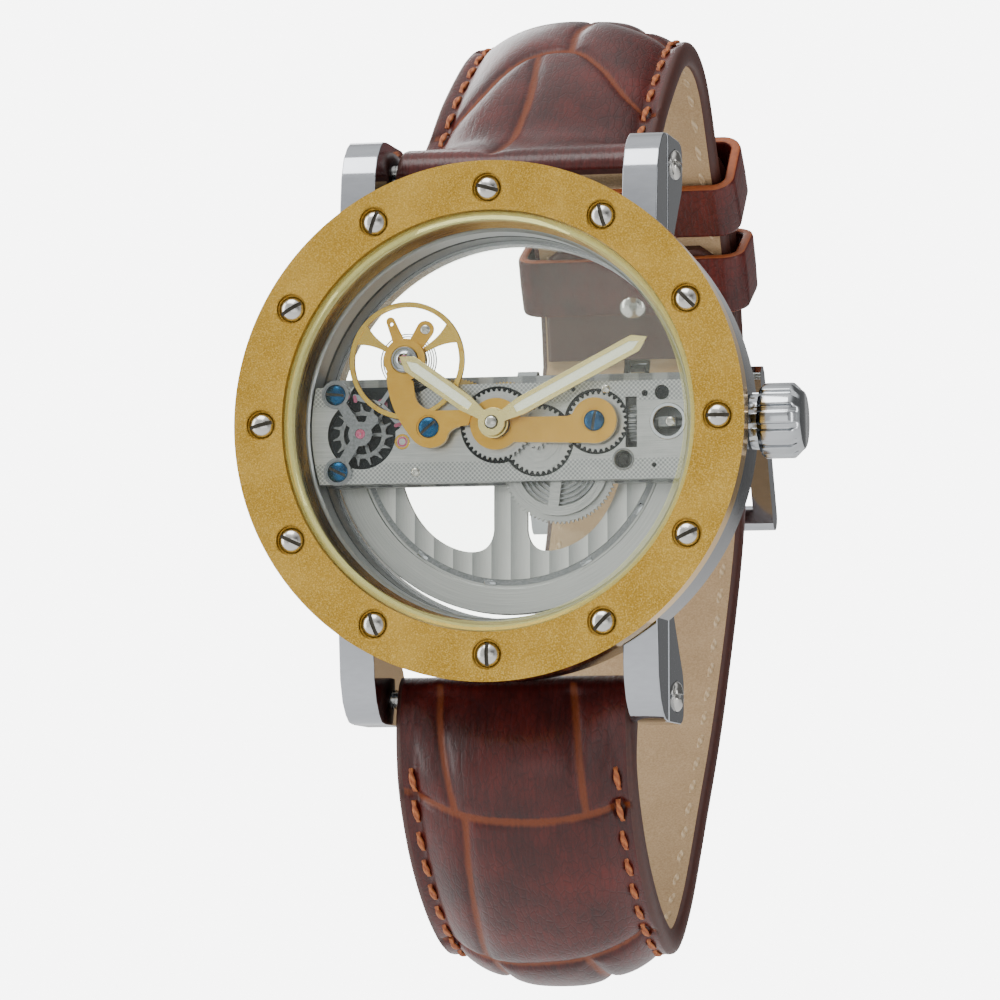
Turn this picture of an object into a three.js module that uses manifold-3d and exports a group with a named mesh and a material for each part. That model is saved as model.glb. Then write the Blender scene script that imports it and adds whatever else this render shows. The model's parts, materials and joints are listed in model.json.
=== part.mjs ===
// Skeleton wristwatch: a round case with a screwed bezel, an automatic movement built on one
// straight bar, a screw-down pair of lug bars and a buckled leather strap.
// Units are millimetres. +X points to 3 o'clock, +Z to 12 o'clock, and the dial side faces -Y.
// Every depth is measured from the front face of the bezel towards the wrist.
import * as THREE from 'three';
import { mergeVertices } from 'three/addons/utils/BufferGeometryUtils.js';
import Module from 'manifold-3d';

const wasm = await Module();
wasm.setup();

// ---- Driving dimensions ----------------------------------------------------------------------

// Case
const CASE_DIAMETER = 42;
const CASE_THICKNESS = 12;
const BEZEL_WIDTH = 4;
const BEZEL_THICKNESS = 1.9;
const BEZEL_OVERHANG = 0.4;
const BACK_RING_THICKNESS = 2.1;
const CRYSTAL_THICKNESS = 1.4;
const CRYSTAL_CHAMFER = 0.6;
const BACK_CRYSTAL_STAND = 0.2;
const WINDOW_DIAMETER = 30.8;

// Bezel screws
const BEZEL_SCREWS = 12;
const BEZEL_SCREW_HEAD = 2.1;
const BEZEL_SCREW_SHANK = 1.1;
const BEZEL_SCREW_LENGTH = 1.2;
const BEZEL_SLOT_TURNS = [15, 75, 45, 0, -25, -45, 90, 70, 25, -15, -30, -70];

// Lugs and their screws
const LUG_GAP = 20.6;
const LUG_WALL = 2.9;
const LUG_LENGTH = 3;
const LUG_DROP = 2.6;
const LUG_SCREW_BEYOND_CASE = 0.8;
const LUG_SCREW_BEFORE_BACK = 0.5;
const LUG_SCREW_SHANK = 1.5;
const LUG_SCREW_HEAD = 2.5;

// Crown and winding
const STEM_DEPTH = 6;
const CROWN_DIAMETER = 6.1;
const CROWN_LENGTH = 3.5;
const CROWN_FLUTES = 12;
const COLLAR_DIAMETER = 4.6;
const COLLAR_LENGTH = 1.1;
const STEM_DIAMETER = 0.9;
const WINDING_PINION_DIAMETER = 3;
const WINDING_PINION_LENGTH = 0.7;

// Movement
const MOVEMENT_DIAMETER = 31.2;
const BAR_TOP = 3.35;
const BAR_BOTTOM = -4.6;
const BAR_FRONT = 4.2;
const BAR_THICKNESS = 1.2;
const REAR_BRIDGE_TOP = 4.3;
const REAR_BRIDGE_FRONT = 7.6;
const REAR_BRIDGE_THICKNESS = 0.75;
const WHEEL_THICKNESS = 0.2;
const PIVOT = 0.24;
const COCK_FRONT = 2.85;
const COCK_THICKNESS = 0.5;
const MOTION_BRIDGE_FRONT = 3.2;
const MOTION_BRIDGE_THICKNESS = 0.5;
const ESCAPE_COCK_THICKNESS = 0.5;
const BLUE_SCREW_HEAD = 1.7;

// Places of the movement's arbors as [right, up] of the hands
const CENTRE = [0, 0];
const MINUTE_ARBOR = [3.3, -1.3];
const SETTING_ARBOR = [8.125, 0.1];
const BARREL_ARBOR = [4.66, -3.18];
const THIRD_ARBOR = [-4.15, 0.65];
const FOURTH_ARBOR = [-7.7, -1];
const ESCAPE_ARBOR = [-11.4, -0.54];
const PALLET_ARBOR = [-9.9, 1.9];
const BALANCE_STAFF = [-7.5, 5.35];
const LEVER_SCREW_PLACE = [10.33, -3];
const JUMPER_SCREW_PLACE = [13.5, 2.35];
const LEVER_RECESS_PLACE = [14, 0];

// Tooth counts
const BARREL_TEETH = 80;
const CENTRE_PINION = 16;
const CENTRE_TEETH = 80;
const THIRD_PINION = 10;
const THIRD_TEETH = 75;
const FOURTH_PINION = 10;
const FOURTH_TEETH = 80;
const ESCAPE_PINION = 8;
const ESCAPE_TEETH = 15;
const CANNON_TEETH = 12;
const MINUTE_TEETH = 36;
const MINUTE_PINION = 10;
const HOUR_TEETH = 40;
const SETTING_TEETH = 32;

// Balance, rotor and hands
const BALANCE_DIAMETER = 9.6;
const ESCAPE_DIAMETER = 5.1;
const LEVER_HUB_CLEARANCE = 0.03;
const ROTOR_DIAMETER = 30.2;
const ROTOR_RIM = 2.4;
const MINUTE_HAND_LENGTH = 14.4;
const MINUTE_HAND_TURN = 62.7;
const HOUR_HAND_LENGTH = 9.6;
const HOUR_HAND_TURN = -54.5;
const HAND_WIDTH = 1.45;
const HAND_THICKNESS = 0.26;

// Strap and buckle; route points are [depth, height] of the middle of the leather
const STRAP_WIDTH = 20;
const STRAP_END_WIDTH = 18;
const STRAP_ROOT_THICKNESS = 3.6;
const STRAP_PADDED_THICKNESS = 4.4;
const STRAP_END_THICKNESS = 2.3;
const TAIL_THICKNESS = 2.1;
const BUCKLE_HALF_ROUTE = [
  [11.5, 21.8], [18.0, 24.3], [25.2, 30.2], [33.2, 35.1], [39.8, 36.2],
  [45.9, 34.0], [51.8, 28.0], [57.4, 22.2], [60.4, 15.8], [61.6, 9.5],
];
const TAIL_HALF_ROUTE = [
  [11.5, -21.8], [9.9, -27.8], [13.6, -34.6], [20.8, -40.4], [28.4, -42.7],
  [35.2, -39.3], [43.6, -30.6], [51.6, -21.8], [60.2, -10.4], [64.4, -2.4], [65.1, 4.0],
  [65.0, 9.5], [63.3, 17.2], [59.9, 24.6], [54.9, 29.9], [52.4, 31.5],
];
const BUCKLE_WALL = 1.8;
const BUCKLE_BAR = 1.4;
const BUCKLE_DROP = 12.3;
const KEEPER_WALL = 0.9;
const KEEPER_LENGTH = 5.4;
const FIXED_KEEPER_PLACE = [60.75, 19.35];
const FIXED_KEEPER_TILT = 27;
const FREE_KEEPER_PLACE = [55.9, 26.35];
const FREE_KEEPER_TILT = 45;
const TAIL_HOLES = 6;
const TAIL_HOLE_PITCH = 6;

// Clearances
const FIT = 0.1;
const SEAM = 0.15;
const RUNNING = 0.06;
const LEATHER_FIT = 0.4;

// ---- Sizes that follow -----------------------------------------------------------------------

const caseRadius = CASE_DIAMETER / 2;
const bezelInner = caseRadius - BEZEL_WIDTH;
const bezelScrewCircle = caseRadius - 2.2;
const bodyRadius = caseRadius - BEZEL_OVERHANG;
const crystalRadius = bezelInner - FIT;
const movementRadius = MOVEMENT_DIAMETER / 2;
const ringInner = movementRadius + FIT;
const caseBore = bezelInner + 0.15;
const ringOuter = caseBore - FIT;
const ringFront = BAR_FRONT - 0.4;
const backRingFront = CASE_THICKNESS - BACK_CRYSTAL_STAND - BACK_RING_THICKNESS;
const windowRadius = WINDOW_DIAMETER / 2;
const barBack = BAR_FRONT + BAR_THICKNESS;
const rearBack = REAR_BRIDGE_FRONT + REAR_BRIDGE_THICKNESS;
const lugInner = LUG_GAP / 2;
const lugOuter = lugInner + LUG_WALL;
const lugReach = caseRadius + LUG_LENGTH;
const lugRoot = lugReach - 10;
const lugDepth = CASE_THICKNESS + LUG_DROP;
const lugScrewReach = caseRadius + LUG_SCREW_BEYOND_CASE;
const lugScrewDepth = CASE_THICKNESS - LUG_SCREW_BEFORE_BACK;
const strapEndHalf = STRAP_END_WIDTH / 2;

// The strap moves with its lug near the case and keeps its place round the back of the wrist.
function followLug(route) {
  const [depthThere, heightThere] = route[0];
  const end = Math.sign(heightThere);
  return route.map(([depth, height]) => {
    const share = 1 - THREE.MathUtils.smoothstep(depth, 20, 45);
    return [
      depth + (lugScrewDepth - depthThere) * share,
      height + (lugScrewReach * end - heightThere) * share,
    ];
  });
}

const buckleHalfRoute = followLug(BUCKLE_HALF_ROUTE);
const tailHalfRoute = followLug(TAIL_HALF_ROUTE);
const crownFace = caseRadius + 0.35;
const stemRadius = STEM_DIAMETER / 2;
const stemSquareHalf = 0.26;
const rotorRadius = ROTOR_DIAMETER / 2;
const shankHole = LUG_SCREW_SHANK / 2 + 0.3;

// ---- Solids ----------------------------------------------------------------------------------

// One closed surface with shared corners, its faces pointing out.
function closedSurface(geometry) {
  const bare = geometry.index ? geometry.toNonIndexed() : geometry.clone();
  for (const name of ['normal', 'uv', 'color']) bare.deleteAttribute(name);
  const merged = mergeVertices(bare, 1e-4);
  const at = merged.attributes.position;
  const corners = [];
  let volume = 0;
  const a = new THREE.Vector3();
  const b = new THREE.Vector3();
  const c = new THREE.Vector3();
  for (let i = 0; i < merged.index.count; i += 3) {
    const [p, q, r] = [0, 1, 2].map((k) => merged.index.getX(i + k));
    if (p === q || q === r || r === p) continue;
    corners.push(p, q, r);
    volume += a.fromBufferAttribute(at, p)
      .dot(b.fromBufferAttribute(at, q).cross(c.fromBufferAttribute(at, r)));
  }
  if (volume < 0) corners.reverse();
  return { vertProperties: new Float32Array(at.array), triVerts: new Uint32Array(corners) };
}

const solid = (geometry) => new wasm.Manifold(new wasm.Mesh({ numProp: 3, ...closedSurface(geometry) }));
const join = (...parts) => parts.reduce((whole, part) => whole.add(part));
const cut = (body, ...tools) => tools.reduce((whole, tool) => whole.subtract(tool), body);

function surface(body) {
  const mesh = body.getMesh();
  const geometry = new THREE.BufferGeometry();
  geometry.setAttribute('position', new THREE.BufferAttribute(new Float32Array(mesh.vertProperties), 3));
  geometry.setIndex(new THREE.BufferAttribute(new Uint32Array(mesh.triVerts), 1));
  const flat = geometry.toNonIndexed();
  flat.computeVertexNormals();
  return flat;
}

// A round bar along the watch's depth, centred on [x, z].
function disc([x, z], radius, front, back, sides = 16) {
  const geometry = new THREE.CylinderGeometry(radius, radius, back - front, sides);
  return solid(geometry.translate(x, (front + back) / 2, z));
}

// A round bar along X, centred on [depth, z].
function crossBar(radius, left, right, [depth, z], sides = 12) {
  const geometry = new THREE.CylinderGeometry(radius, radius, right - left, sides);
  return solid(geometry.rotateZ(Math.PI / 2).translate((left + right) / 2, depth, z));
}

function block(low, high) {
  const size = high.map((value, i) => value - low[i]);
  const middle = high.map((value, i) => (value + low[i]) / 2);
  return solid(new THREE.BoxGeometry(...size).translate(...middle));
}

// A flat outline, drawn as seen from the dial, given its place in depth.
function plate(shape, front, back, curveSegments = 6) {
  const geometry = new THREE.ExtrudeGeometry(shape, {
    depth: back - front, bevelEnabled: false, curveSegments,
  });
  return solid(geometry.rotateX(Math.PI / 2).translate(0, back, 0));
}

// An outline drawn from the side as [depth, z], given its place across the watch.
function sidePlate(points, left, right) {
  const shape = new THREE.Shape(points.map(([depth, z]) => new THREE.Vector2(depth, z)));
  const geometry = new THREE.ExtrudeGeometry(shape, { depth: right - left, bevelEnabled: false });
  const turn = new THREE.Matrix4().makeBasis(
    new THREE.Vector3(0, 1, 0), new THREE.Vector3(0, 0, 1), new THREE.Vector3(1, 0, 0),
  );
  return solid(geometry.applyMatrix4(turn).translate(left, 0, 0));
}

// A body turned about the hand axis, from [radius, depth] points.
function turned(points, segments = 40) {
  const profile = [...points, points[0]].map(([radius, depth]) => new THREE.Vector2(radius, depth));
  return solid(new THREE.LatheGeometry(profile, segments));
}

// A body turned about the X axis at the stem's depth, from [x, radius] points.
function turnedOnStem(points, segments = 24) {
  const profile = [...points, points[0]].map(([x, radius]) => new THREE.Vector2(radius, -x));
  const geometry = new THREE.LatheGeometry(profile, segments);
  return solid(geometry.rotateZ(Math.PI / 2).translate(0, STEM_DEPTH, 0));
}

function polar(radius, angle, [x, z] = [0, 0]) {
  return [x + radius * Math.cos(angle), z + radius * Math.sin(angle)];
}

const distance = ([a, b], [c, d]) => Math.hypot(a - c, b - d);
const bearing = ([a, b], [c, d]) => Math.atan2(d - b, c - a);
const degrees = (value) => THREE.MathUtils.degToRad(value);
const outline = (points) => new THREE.Shape(points.map(([x, z]) => new THREE.Vector2(x, z)));

// A straight arm with round ends, from one place to another.
function arm(from, to, width, front, back) {
  const along = bearing(from, to);
  const half = width / 2;
  const shape = new THREE.Shape();
  shape.absarc(to[0], to[1], half, along - Math.PI / 2, along + Math.PI / 2, false);
  shape.absarc(from[0], from[1], half, along + Math.PI / 2, along + Math.PI * 1.5, false);
  return plate(shape, front, back, 3);
}

// ---- Gears -----------------------------------------------------------------------------------

// The pitch radii of two gears that mesh across a distance.
function pitchRadii(from, to, teeth, matingTeeth) {
  const apart = distance(from, to);
  return [apart * teeth / (teeth + matingTeeth), apart * matingTeeth / (teeth + matingTeeth)];
}

// Straight-sided teeth. A tooth points along `facing` when `onTooth` is true, else a gap does.
function gearOutline(teeth, pitchRadius, facing, onTooth, sharp) {
  const pitch = Math.PI * 2 / teeth;
  const size = pitchRadius * 2 / teeth;
  const tip = pitchRadius + size * 0.75;
  const root = pitchRadius - size * 0.95;
  const start = facing + (onTooth ? 0 : pitch / 2);
  const points = [];
  for (let i = 0; i < teeth; i += 1) {
    const middle = start + i * pitch;
    if (sharp) {
      points.push(polar(root, middle - pitch / 2), polar(tip, middle));
      continue;
    }
    points.push(polar(root, middle - pitch * 0.27), polar(tip, middle - pitch * 0.1));
    points.push(polar(tip, middle + pitch * 0.1), polar(root, middle + pitch * 0.27));
  }
  return outline(points);
}

// Round windows around a hub, which leave spokes between them.
function spokeWindows(shape, inner, outer, count, spoke, turn = 0) {
  for (let i = 0; i < count; i += 1) {
    const middle = turn + (i + 0.5) * Math.PI * 2 / count;
    const halfOut = Math.PI / count - spoke / outer / 2;
    const halfIn = Math.PI / count - spoke / inner / 2;
    const hole = new THREE.Path();
    hole.absarc(0, 0, outer, middle - halfOut, middle + halfOut, false);
    hole.absarc(0, 0, inner, middle + halfIn, middle - halfIn, true);
    hole.closePath();
    shape.holes.push(hole);
  }
  return shape;
}

// ---- The scene graph -------------------------------------------------------------------------

const finishes = {
  steel: [0xb9bbbd, 0.32, 1],
  darkSteel: [0x6d6f72, 0.28, 1],
  polished: [0xd6d8da, 0.12, 1],
  goldFrost: [0xb88f3a, 0.62, 1],
  gold: [0xdcb057, 0.25, 1],
  paleGold: [0xe6dba6, 0.35, 0.6],
  blueSteel: [0x1f5c86, 0.25, 1],
  ruby: [0x9c2f4f, 0.15, 0],
  glass: [0xf2f6ea, 0.03, 0],
  rubber: [0x202020, 0.8, 0],
  leather: [0x4a1f18, 0.45, 0],
};

function piece(name, body, finish, place = [0, 0, 0]) {
  const [color, roughness, metalness] = finishes[finish];
  const material = new THREE.MeshStandardMaterial({ color, roughness, metalness });
  const mesh = new THREE.Mesh(surface(body), material);
  mesh.name = name;
  mesh.position.set(...place);
  return mesh;
}

const at = ([x, z], depth = 0) => [x, depth, z];

function group(...children) {
  const made = new THREE.Group();
  made.add(...children);
  return made;
}

// ---- Case ------------------------------------------------------------------------------------

function lug(side, end) {
  const left = side > 0 ? lugInner : -lugOuter;
  const points = [
    [3.4, lugRoot], [4.2, lugReach - 3.5], [6, lugReach - 0.7], [7, lugReach], [lugDepth - 1, lugReach],
    [lugDepth, lugReach - 1], [lugDepth, lugReach - 3.8], [lugDepth - 2, lugReach - 6],
    [backRingFront - 0.3, lugRoot],
  ];
  const body = sidePlate(points.map(([depth, z]) => [depth, z * end]), left, left + LUG_WALL);
  return body;
}

const lugScrewPlace = (end) => [lugScrewDepth, lugScrewReach * end];

function caseMiddle() {
  const front = BEZEL_THICKNESS + SEAM;
  const back = backRingFront - SEAM;
  const barrel = turned([
    [0.01, front], [bodyRadius - 0.3, front], [bodyRadius, front + 0.3], [bodyRadius, back - 1.2],
    [bodyRadius - 0.8, back], [0.01, back],
  ]);
  let body = barrel;
  for (const side of [-1, 1]) {
    for (const end of [-1, 1]) body = body.add(lug(side, end));
  }
  const collar = crossBar(COLLAR_DIAMETER / 2, bodyRadius - 2, crownFace - 0.25, [STEM_DEPTH, 0], 20);
  body = body.add(collar);
  body = cut(
    body,
    disc(CENTRE, caseBore, front - 1, lugDepth, 48),
    disc(CENTRE, bodyRadius - 0.9, backRingFront - SEAM, lugDepth + 1, 48),
    crossBar(stemRadius + 0.2, 0, caseRadius + COLLAR_LENGTH + 2, [STEM_DEPTH, 0], 16),
  );
  for (const end of [-1, 1]) {
    const place = lugScrewPlace(end);
    body = cut(
      body,
      crossBar(LUG_SCREW_SHANK / 2 + RUNNING, -lugOuter + 1, lugOuter + 1, place),
      crossBar(LUG_SCREW_HEAD / 2 + RUNNING, lugOuter - 0.5, lugOuter + 1, place, 20),
    );
  }
  return body;
}

function bezelScrewPlace(index) {
  return polar(bezelScrewCircle, Math.PI / 2 - index * Math.PI * 2 / BEZEL_SCREWS);
}

function bezel() {
  const ring = turned([
    [bezelInner, 0], [caseRadius - 0.35, 0], [caseRadius, 0.35], [caseRadius, BEZEL_THICKNESS],
    [bezelInner, BEZEL_THICKNESS],
  ], 56);
  let body = ring;
  for (let i = 0; i < BEZEL_SCREWS; i += 1) {
    const place = bezelScrewPlace(i);
    body = cut(
      body,
      disc(place, BEZEL_SCREW_HEAD / 2 + 0.14, -1, 0.6, 12),
      disc(place, BEZEL_SCREW_SHANK / 2 + RUNNING, -1, BEZEL_THICKNESS + 1, 8),
    );
  }
  return body;
}

// A slotted screw along the depth, with a domed head whose underside is at zero.
function slottedScrew(headDiameter, shankDiameter, length, turn) {
  const head = headDiameter / 2;
  const height = headDiameter * 0.3;
  const shank = shankDiameter / 2;
  const profile = [[0, -height], [head * 0.6, -height * 0.85], [head, 0], [shank, 0], [shank, length],
    [0, length]];
  const points = profile.map(([radius, depth]) => new THREE.Vector2(radius, depth));
  const body = solid(new THREE.LatheGeometry(points, 12));
  const slot = new THREE.BoxGeometry(headDiameter * 1.2, height * 1.1, headDiameter * 0.14);
  slot.translate(0, -height, 0).rotateY(-degrees(turn));
  return cut(body, solid(slot));
}

function bezelScrews() {
  return BEZEL_SLOT_TURNS.map((turn, i) => {
    const name = `bezel_screw_${String(i + 1).padStart(2, '0')}`;
    const body = slottedScrew(BEZEL_SCREW_HEAD, BEZEL_SCREW_SHANK, BEZEL_SCREW_LENGTH, turn);
    return piece(name, body, 'polished', at(bezelScrewPlace(i), 0.55));
  });
}

function frontCrystal() {
  const front = -0.05;
  const back = front + CRYSTAL_THICKNESS;
  return turned([
    [0, front], [crystalRadius - CRYSTAL_CHAMFER, front], [crystalRadius, front + CRYSTAL_CHAMFER * 0.5],
    [crystalRadius, back], [0, back],
  ]);
}

const gasketDepth = CRYSTAL_THICKNESS + 0.02;

function crystalGasket() {
  const back = BEZEL_THICKNESS;
  return turned([
    [crystalRadius - 0.5, gasketDepth], [crystalRadius, gasketDepth], [crystalRadius, back],
    [crystalRadius - 0.5, back],
  ]);
}

function rehautRing() {
  const front = BEZEL_THICKNESS + SEAM;
  const back = ringFront - 0.05;
  return turned([
    [ringOuter - 0.35, front], [ringOuter, front], [ringOuter, back], [ringInner + 0.75, back],
  ]);
}

function movementRing() {
  const back = backRingFront - 0.1;
  const ring = turned([
    [ringInner + 0.15, ringFront], [ringOuter, ringFront], [ringOuter, back], [ringInner, back],
    [ringInner, ringFront + 0.15],
  ]);
  return cut(ring, crossBar(stemRadius + 0.2, ringInner - 2, ringOuter + 2, [STEM_DEPTH, 0]));
}

function caseBackRing() {
  const back = CASE_THICKNESS - BACK_CRYSTAL_STAND;
  return turned([
    [windowRadius, backRingFront], [bodyRadius - 1.1, backRingFront], [bodyRadius - 1.3, back - 1.1],
    [bodyRadius - 2.2, back], [windowRadius, back],
  ]);
}

function backCrystal() {
  const radius = windowRadius - FIT;
  const front = CASE_THICKNESS - CRYSTAL_THICKNESS - 0.2;
  return turned([[0, front], [radius, front], [radius, CASE_THICKNESS - 0.2],
    [radius - 0.2, CASE_THICKNESS], [0, CASE_THICKNESS]]);
}

// A long screw through both lugs and the strap, with a slotted dome on the right.
function lugScrew(end) {
  const place = lugScrewPlace(end);
  const shank = crossBar(LUG_SCREW_SHANK / 2, -lugOuter + 1.1, lugOuter - 0.4, place);
  const head = LUG_SCREW_HEAD / 2;
  const profile = [[lugOuter - 0.45, 0], [lugOuter - 0.45, head], [lugOuter, head],
    [lugOuter + 0.4, head * 0.72], [lugOuter + 0.55, 0]];
  const points = profile.map(([x, radius]) => new THREE.Vector2(radius, x));
  const dome = new THREE.LatheGeometry(points, 16).rotateZ(-Math.PI / 2).translate(0, place[0], place[1]);
  const slot = block([lugOuter + 0.15, place[0] - head * 2, place[1] - 0.2],
    [lugOuter + 2, place[0] + head * 2, place[1] + 0.2]);
  return cut(join(shank, solid(dome)), slot);
}

function caseGroup() {
  return group(
    piece('case_middle', caseMiddle(), 'darkSteel'),
    piece('bezel', bezel(), 'goldFrost'),
    ...bezelScrews(),
    piece('front_crystal', frontCrystal(), 'glass'),
    piece('crystal_gasket', crystalGasket(), 'paleGold'),
    piece('rehaut_ring', rehautRing(), 'gold'),
    piece('movement_ring', movementRing(), 'steel'),
    piece('case_back_ring', caseBackRing(), 'steel'),
    piece('back_crystal', backCrystal(), 'glass'),
    piece('lug_screw_12', lugScrew(1), 'polished'),
    piece('lug_screw_6', lugScrew(-1), 'polished'),
  );
}

// ---- Crown, stem and winding pinion ----------------------------------------------------------

function crown() {
  const radius = CROWN_DIAMETER / 2;
  const end = crownFace + CROWN_LENGTH;
  const shape = new THREE.Shape();
  const pitch = Math.PI * 2 / CROWN_FLUTES;
  const points = [];
  for (let i = 0; i < CROWN_FLUTES; i += 1) {
    for (const [share, depth] of [[-0.28, 0], [0.28, 0], [0.36, 0.26], [0.64, 0.26]]) {
      points.push(polar(radius - depth, (i + share) * pitch));
    }
  }
  shape.setFromPoints(points.map(([a, b]) => new THREE.Vector2(a, b)));
  const fluted = new THREE.ExtrudeGeometry(shape, { depth: CROWN_LENGTH, bevelEnabled: false });
  fluted.rotateY(Math.PI / 2).translate(crownFace, STEM_DEPTH, 0);
  const envelope = turnedOnStem([
    [crownFace, 0], [crownFace, radius - 0.3], [crownFace + 0.3, radius + 0.1],
    [end - 0.75, radius + 0.1], [end, radius - 0.8], [end, 0],
  ], 36);
  const skirt = COLLAR_DIAMETER / 2 + 0.15;
  const socket = crossBar(skirt, crownFace - 1, crownFace + COLLAR_LENGTH + 0.1, [STEM_DEPTH, 0], 20);
  const bore = crossBar(stemRadius + 0.02, crownFace - 1, crownFace + 2.2, [STEM_DEPTH, 0]);
  return cut(solid(fluted).intersect(envelope), socket, bore);
}

function crownGasket() {
  const middle = crownFace - 1.6;
  return turnedOnStem([
    [middle - 0.3, stemRadius + 0.03], [middle + 0.3, stemRadius + 0.03],
    [middle + 0.3, stemRadius + 0.17], [middle - 0.3, stemRadius + 0.17],
  ]);
}

const pinionLeft = 10.63;

function windingStem() {
  const left = pinionLeft - 1.6;
  const rod = crossBar(stemRadius, pinionLeft + WINDING_PINION_LENGTH + 0.4, crownFace + 2, [STEM_DEPTH, 0]);
  const tongue = block([left, STEM_DEPTH - stemSquareHalf, -stemSquareHalf],
    [pinionLeft + WINDING_PINION_LENGTH + 0.5, STEM_DEPTH + stemSquareHalf, stemSquareHalf]);
  return join(rod, tongue);
}

function windingPinion() {
  const radius = WINDING_PINION_DIAMETER / 2;
  const teeth = 18;
  const points = [];
  for (let i = 0; i < teeth; i += 1) {
    points.push(polar(radius - 0.25, (i - 0.22) * Math.PI * 2 / teeth));
    points.push(polar(radius, (i - 0.14) * Math.PI * 2 / teeth));
    points.push(polar(radius, (i + 0.14) * Math.PI * 2 / teeth));
    points.push(polar(radius - 0.25, (i + 0.22) * Math.PI * 2 / teeth));
  }
  const body = new THREE.ExtrudeGeometry(outline(points), {
    depth: WINDING_PINION_LENGTH, bevelEnabled: false,
  });
  body.rotateY(Math.PI / 2).translate(pinionLeft, STEM_DEPTH, 0);
  const bore = stemSquareHalf * Math.SQRT2 + 0.05;
  return cut(solid(body), crossBar(bore, pinionLeft - 1, pinionLeft + 2, [STEM_DEPTH, 0]));
}

function windingGroup() {
  return group(
    piece('crown', crown(), 'polished'),
    piece('crown_gasket', crownGasket(), 'rubber'),
    piece('winding_stem', windingStem(), 'steel'),
    piece('winding_pinion', windingPinion(), 'darkSteel'),
  );
}

// ---- Movement frame --------------------------------------------------------------------------

const rimFront = COCK_FRONT + COCK_THICKNESS + 0.25;
const rimBack = rimFront + 0.4;
const motionFloor = BAR_FRONT + 0.6;
const hourWheelFront = MOTION_BRIDGE_FRONT + MOTION_BRIDGE_THICKNESS + 0.15;
const minuteWheelFront = BAR_FRONT + 0.2;
const escapeFront = BAR_FRONT + 0.35;
const escapeFloor = BAR_FRONT + 0.8;
const escapeFeet = [[-13.5, 2.7], [-13.3, -3.6]];
const cockFoot = [-5.5, -0.2];
const footPillars = [...escapeFeet, [13.3, -3.6], [13.3, 2.6]];
const minutePinionRadius = pitchRadii(MINUTE_ARBOR, CENTRE, MINUTE_PINION, HOUR_TEETH)[0];
const minuteWheelRadius = pitchRadii(MINUTE_ARBOR, CENTRE, MINUTE_TEETH, CANNON_TEETH)[0];
const settingRadius = distance(MINUTE_ARBOR, SETTING_ARBOR) - minuteWheelRadius;
const hourRadius = distance(MINUTE_ARBOR, CENTRE) - minutePinionRadius;
const cannonRadius = distance(MINUTE_ARBOR, CENTRE) - minuteWheelRadius;
const studRadius = 0.75;
const screwHole = BLUE_SCREW_HEAD * 0.25 + RUNNING;

function barOutline(bottom, top, front, back) {
  const bar = block([-movementRadius - 1, front, bottom], [movementRadius + 1, back, top]);
  return bar.intersect(disc(CENTRE, movementRadius, front - 1, back + 1, 72));
}

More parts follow.
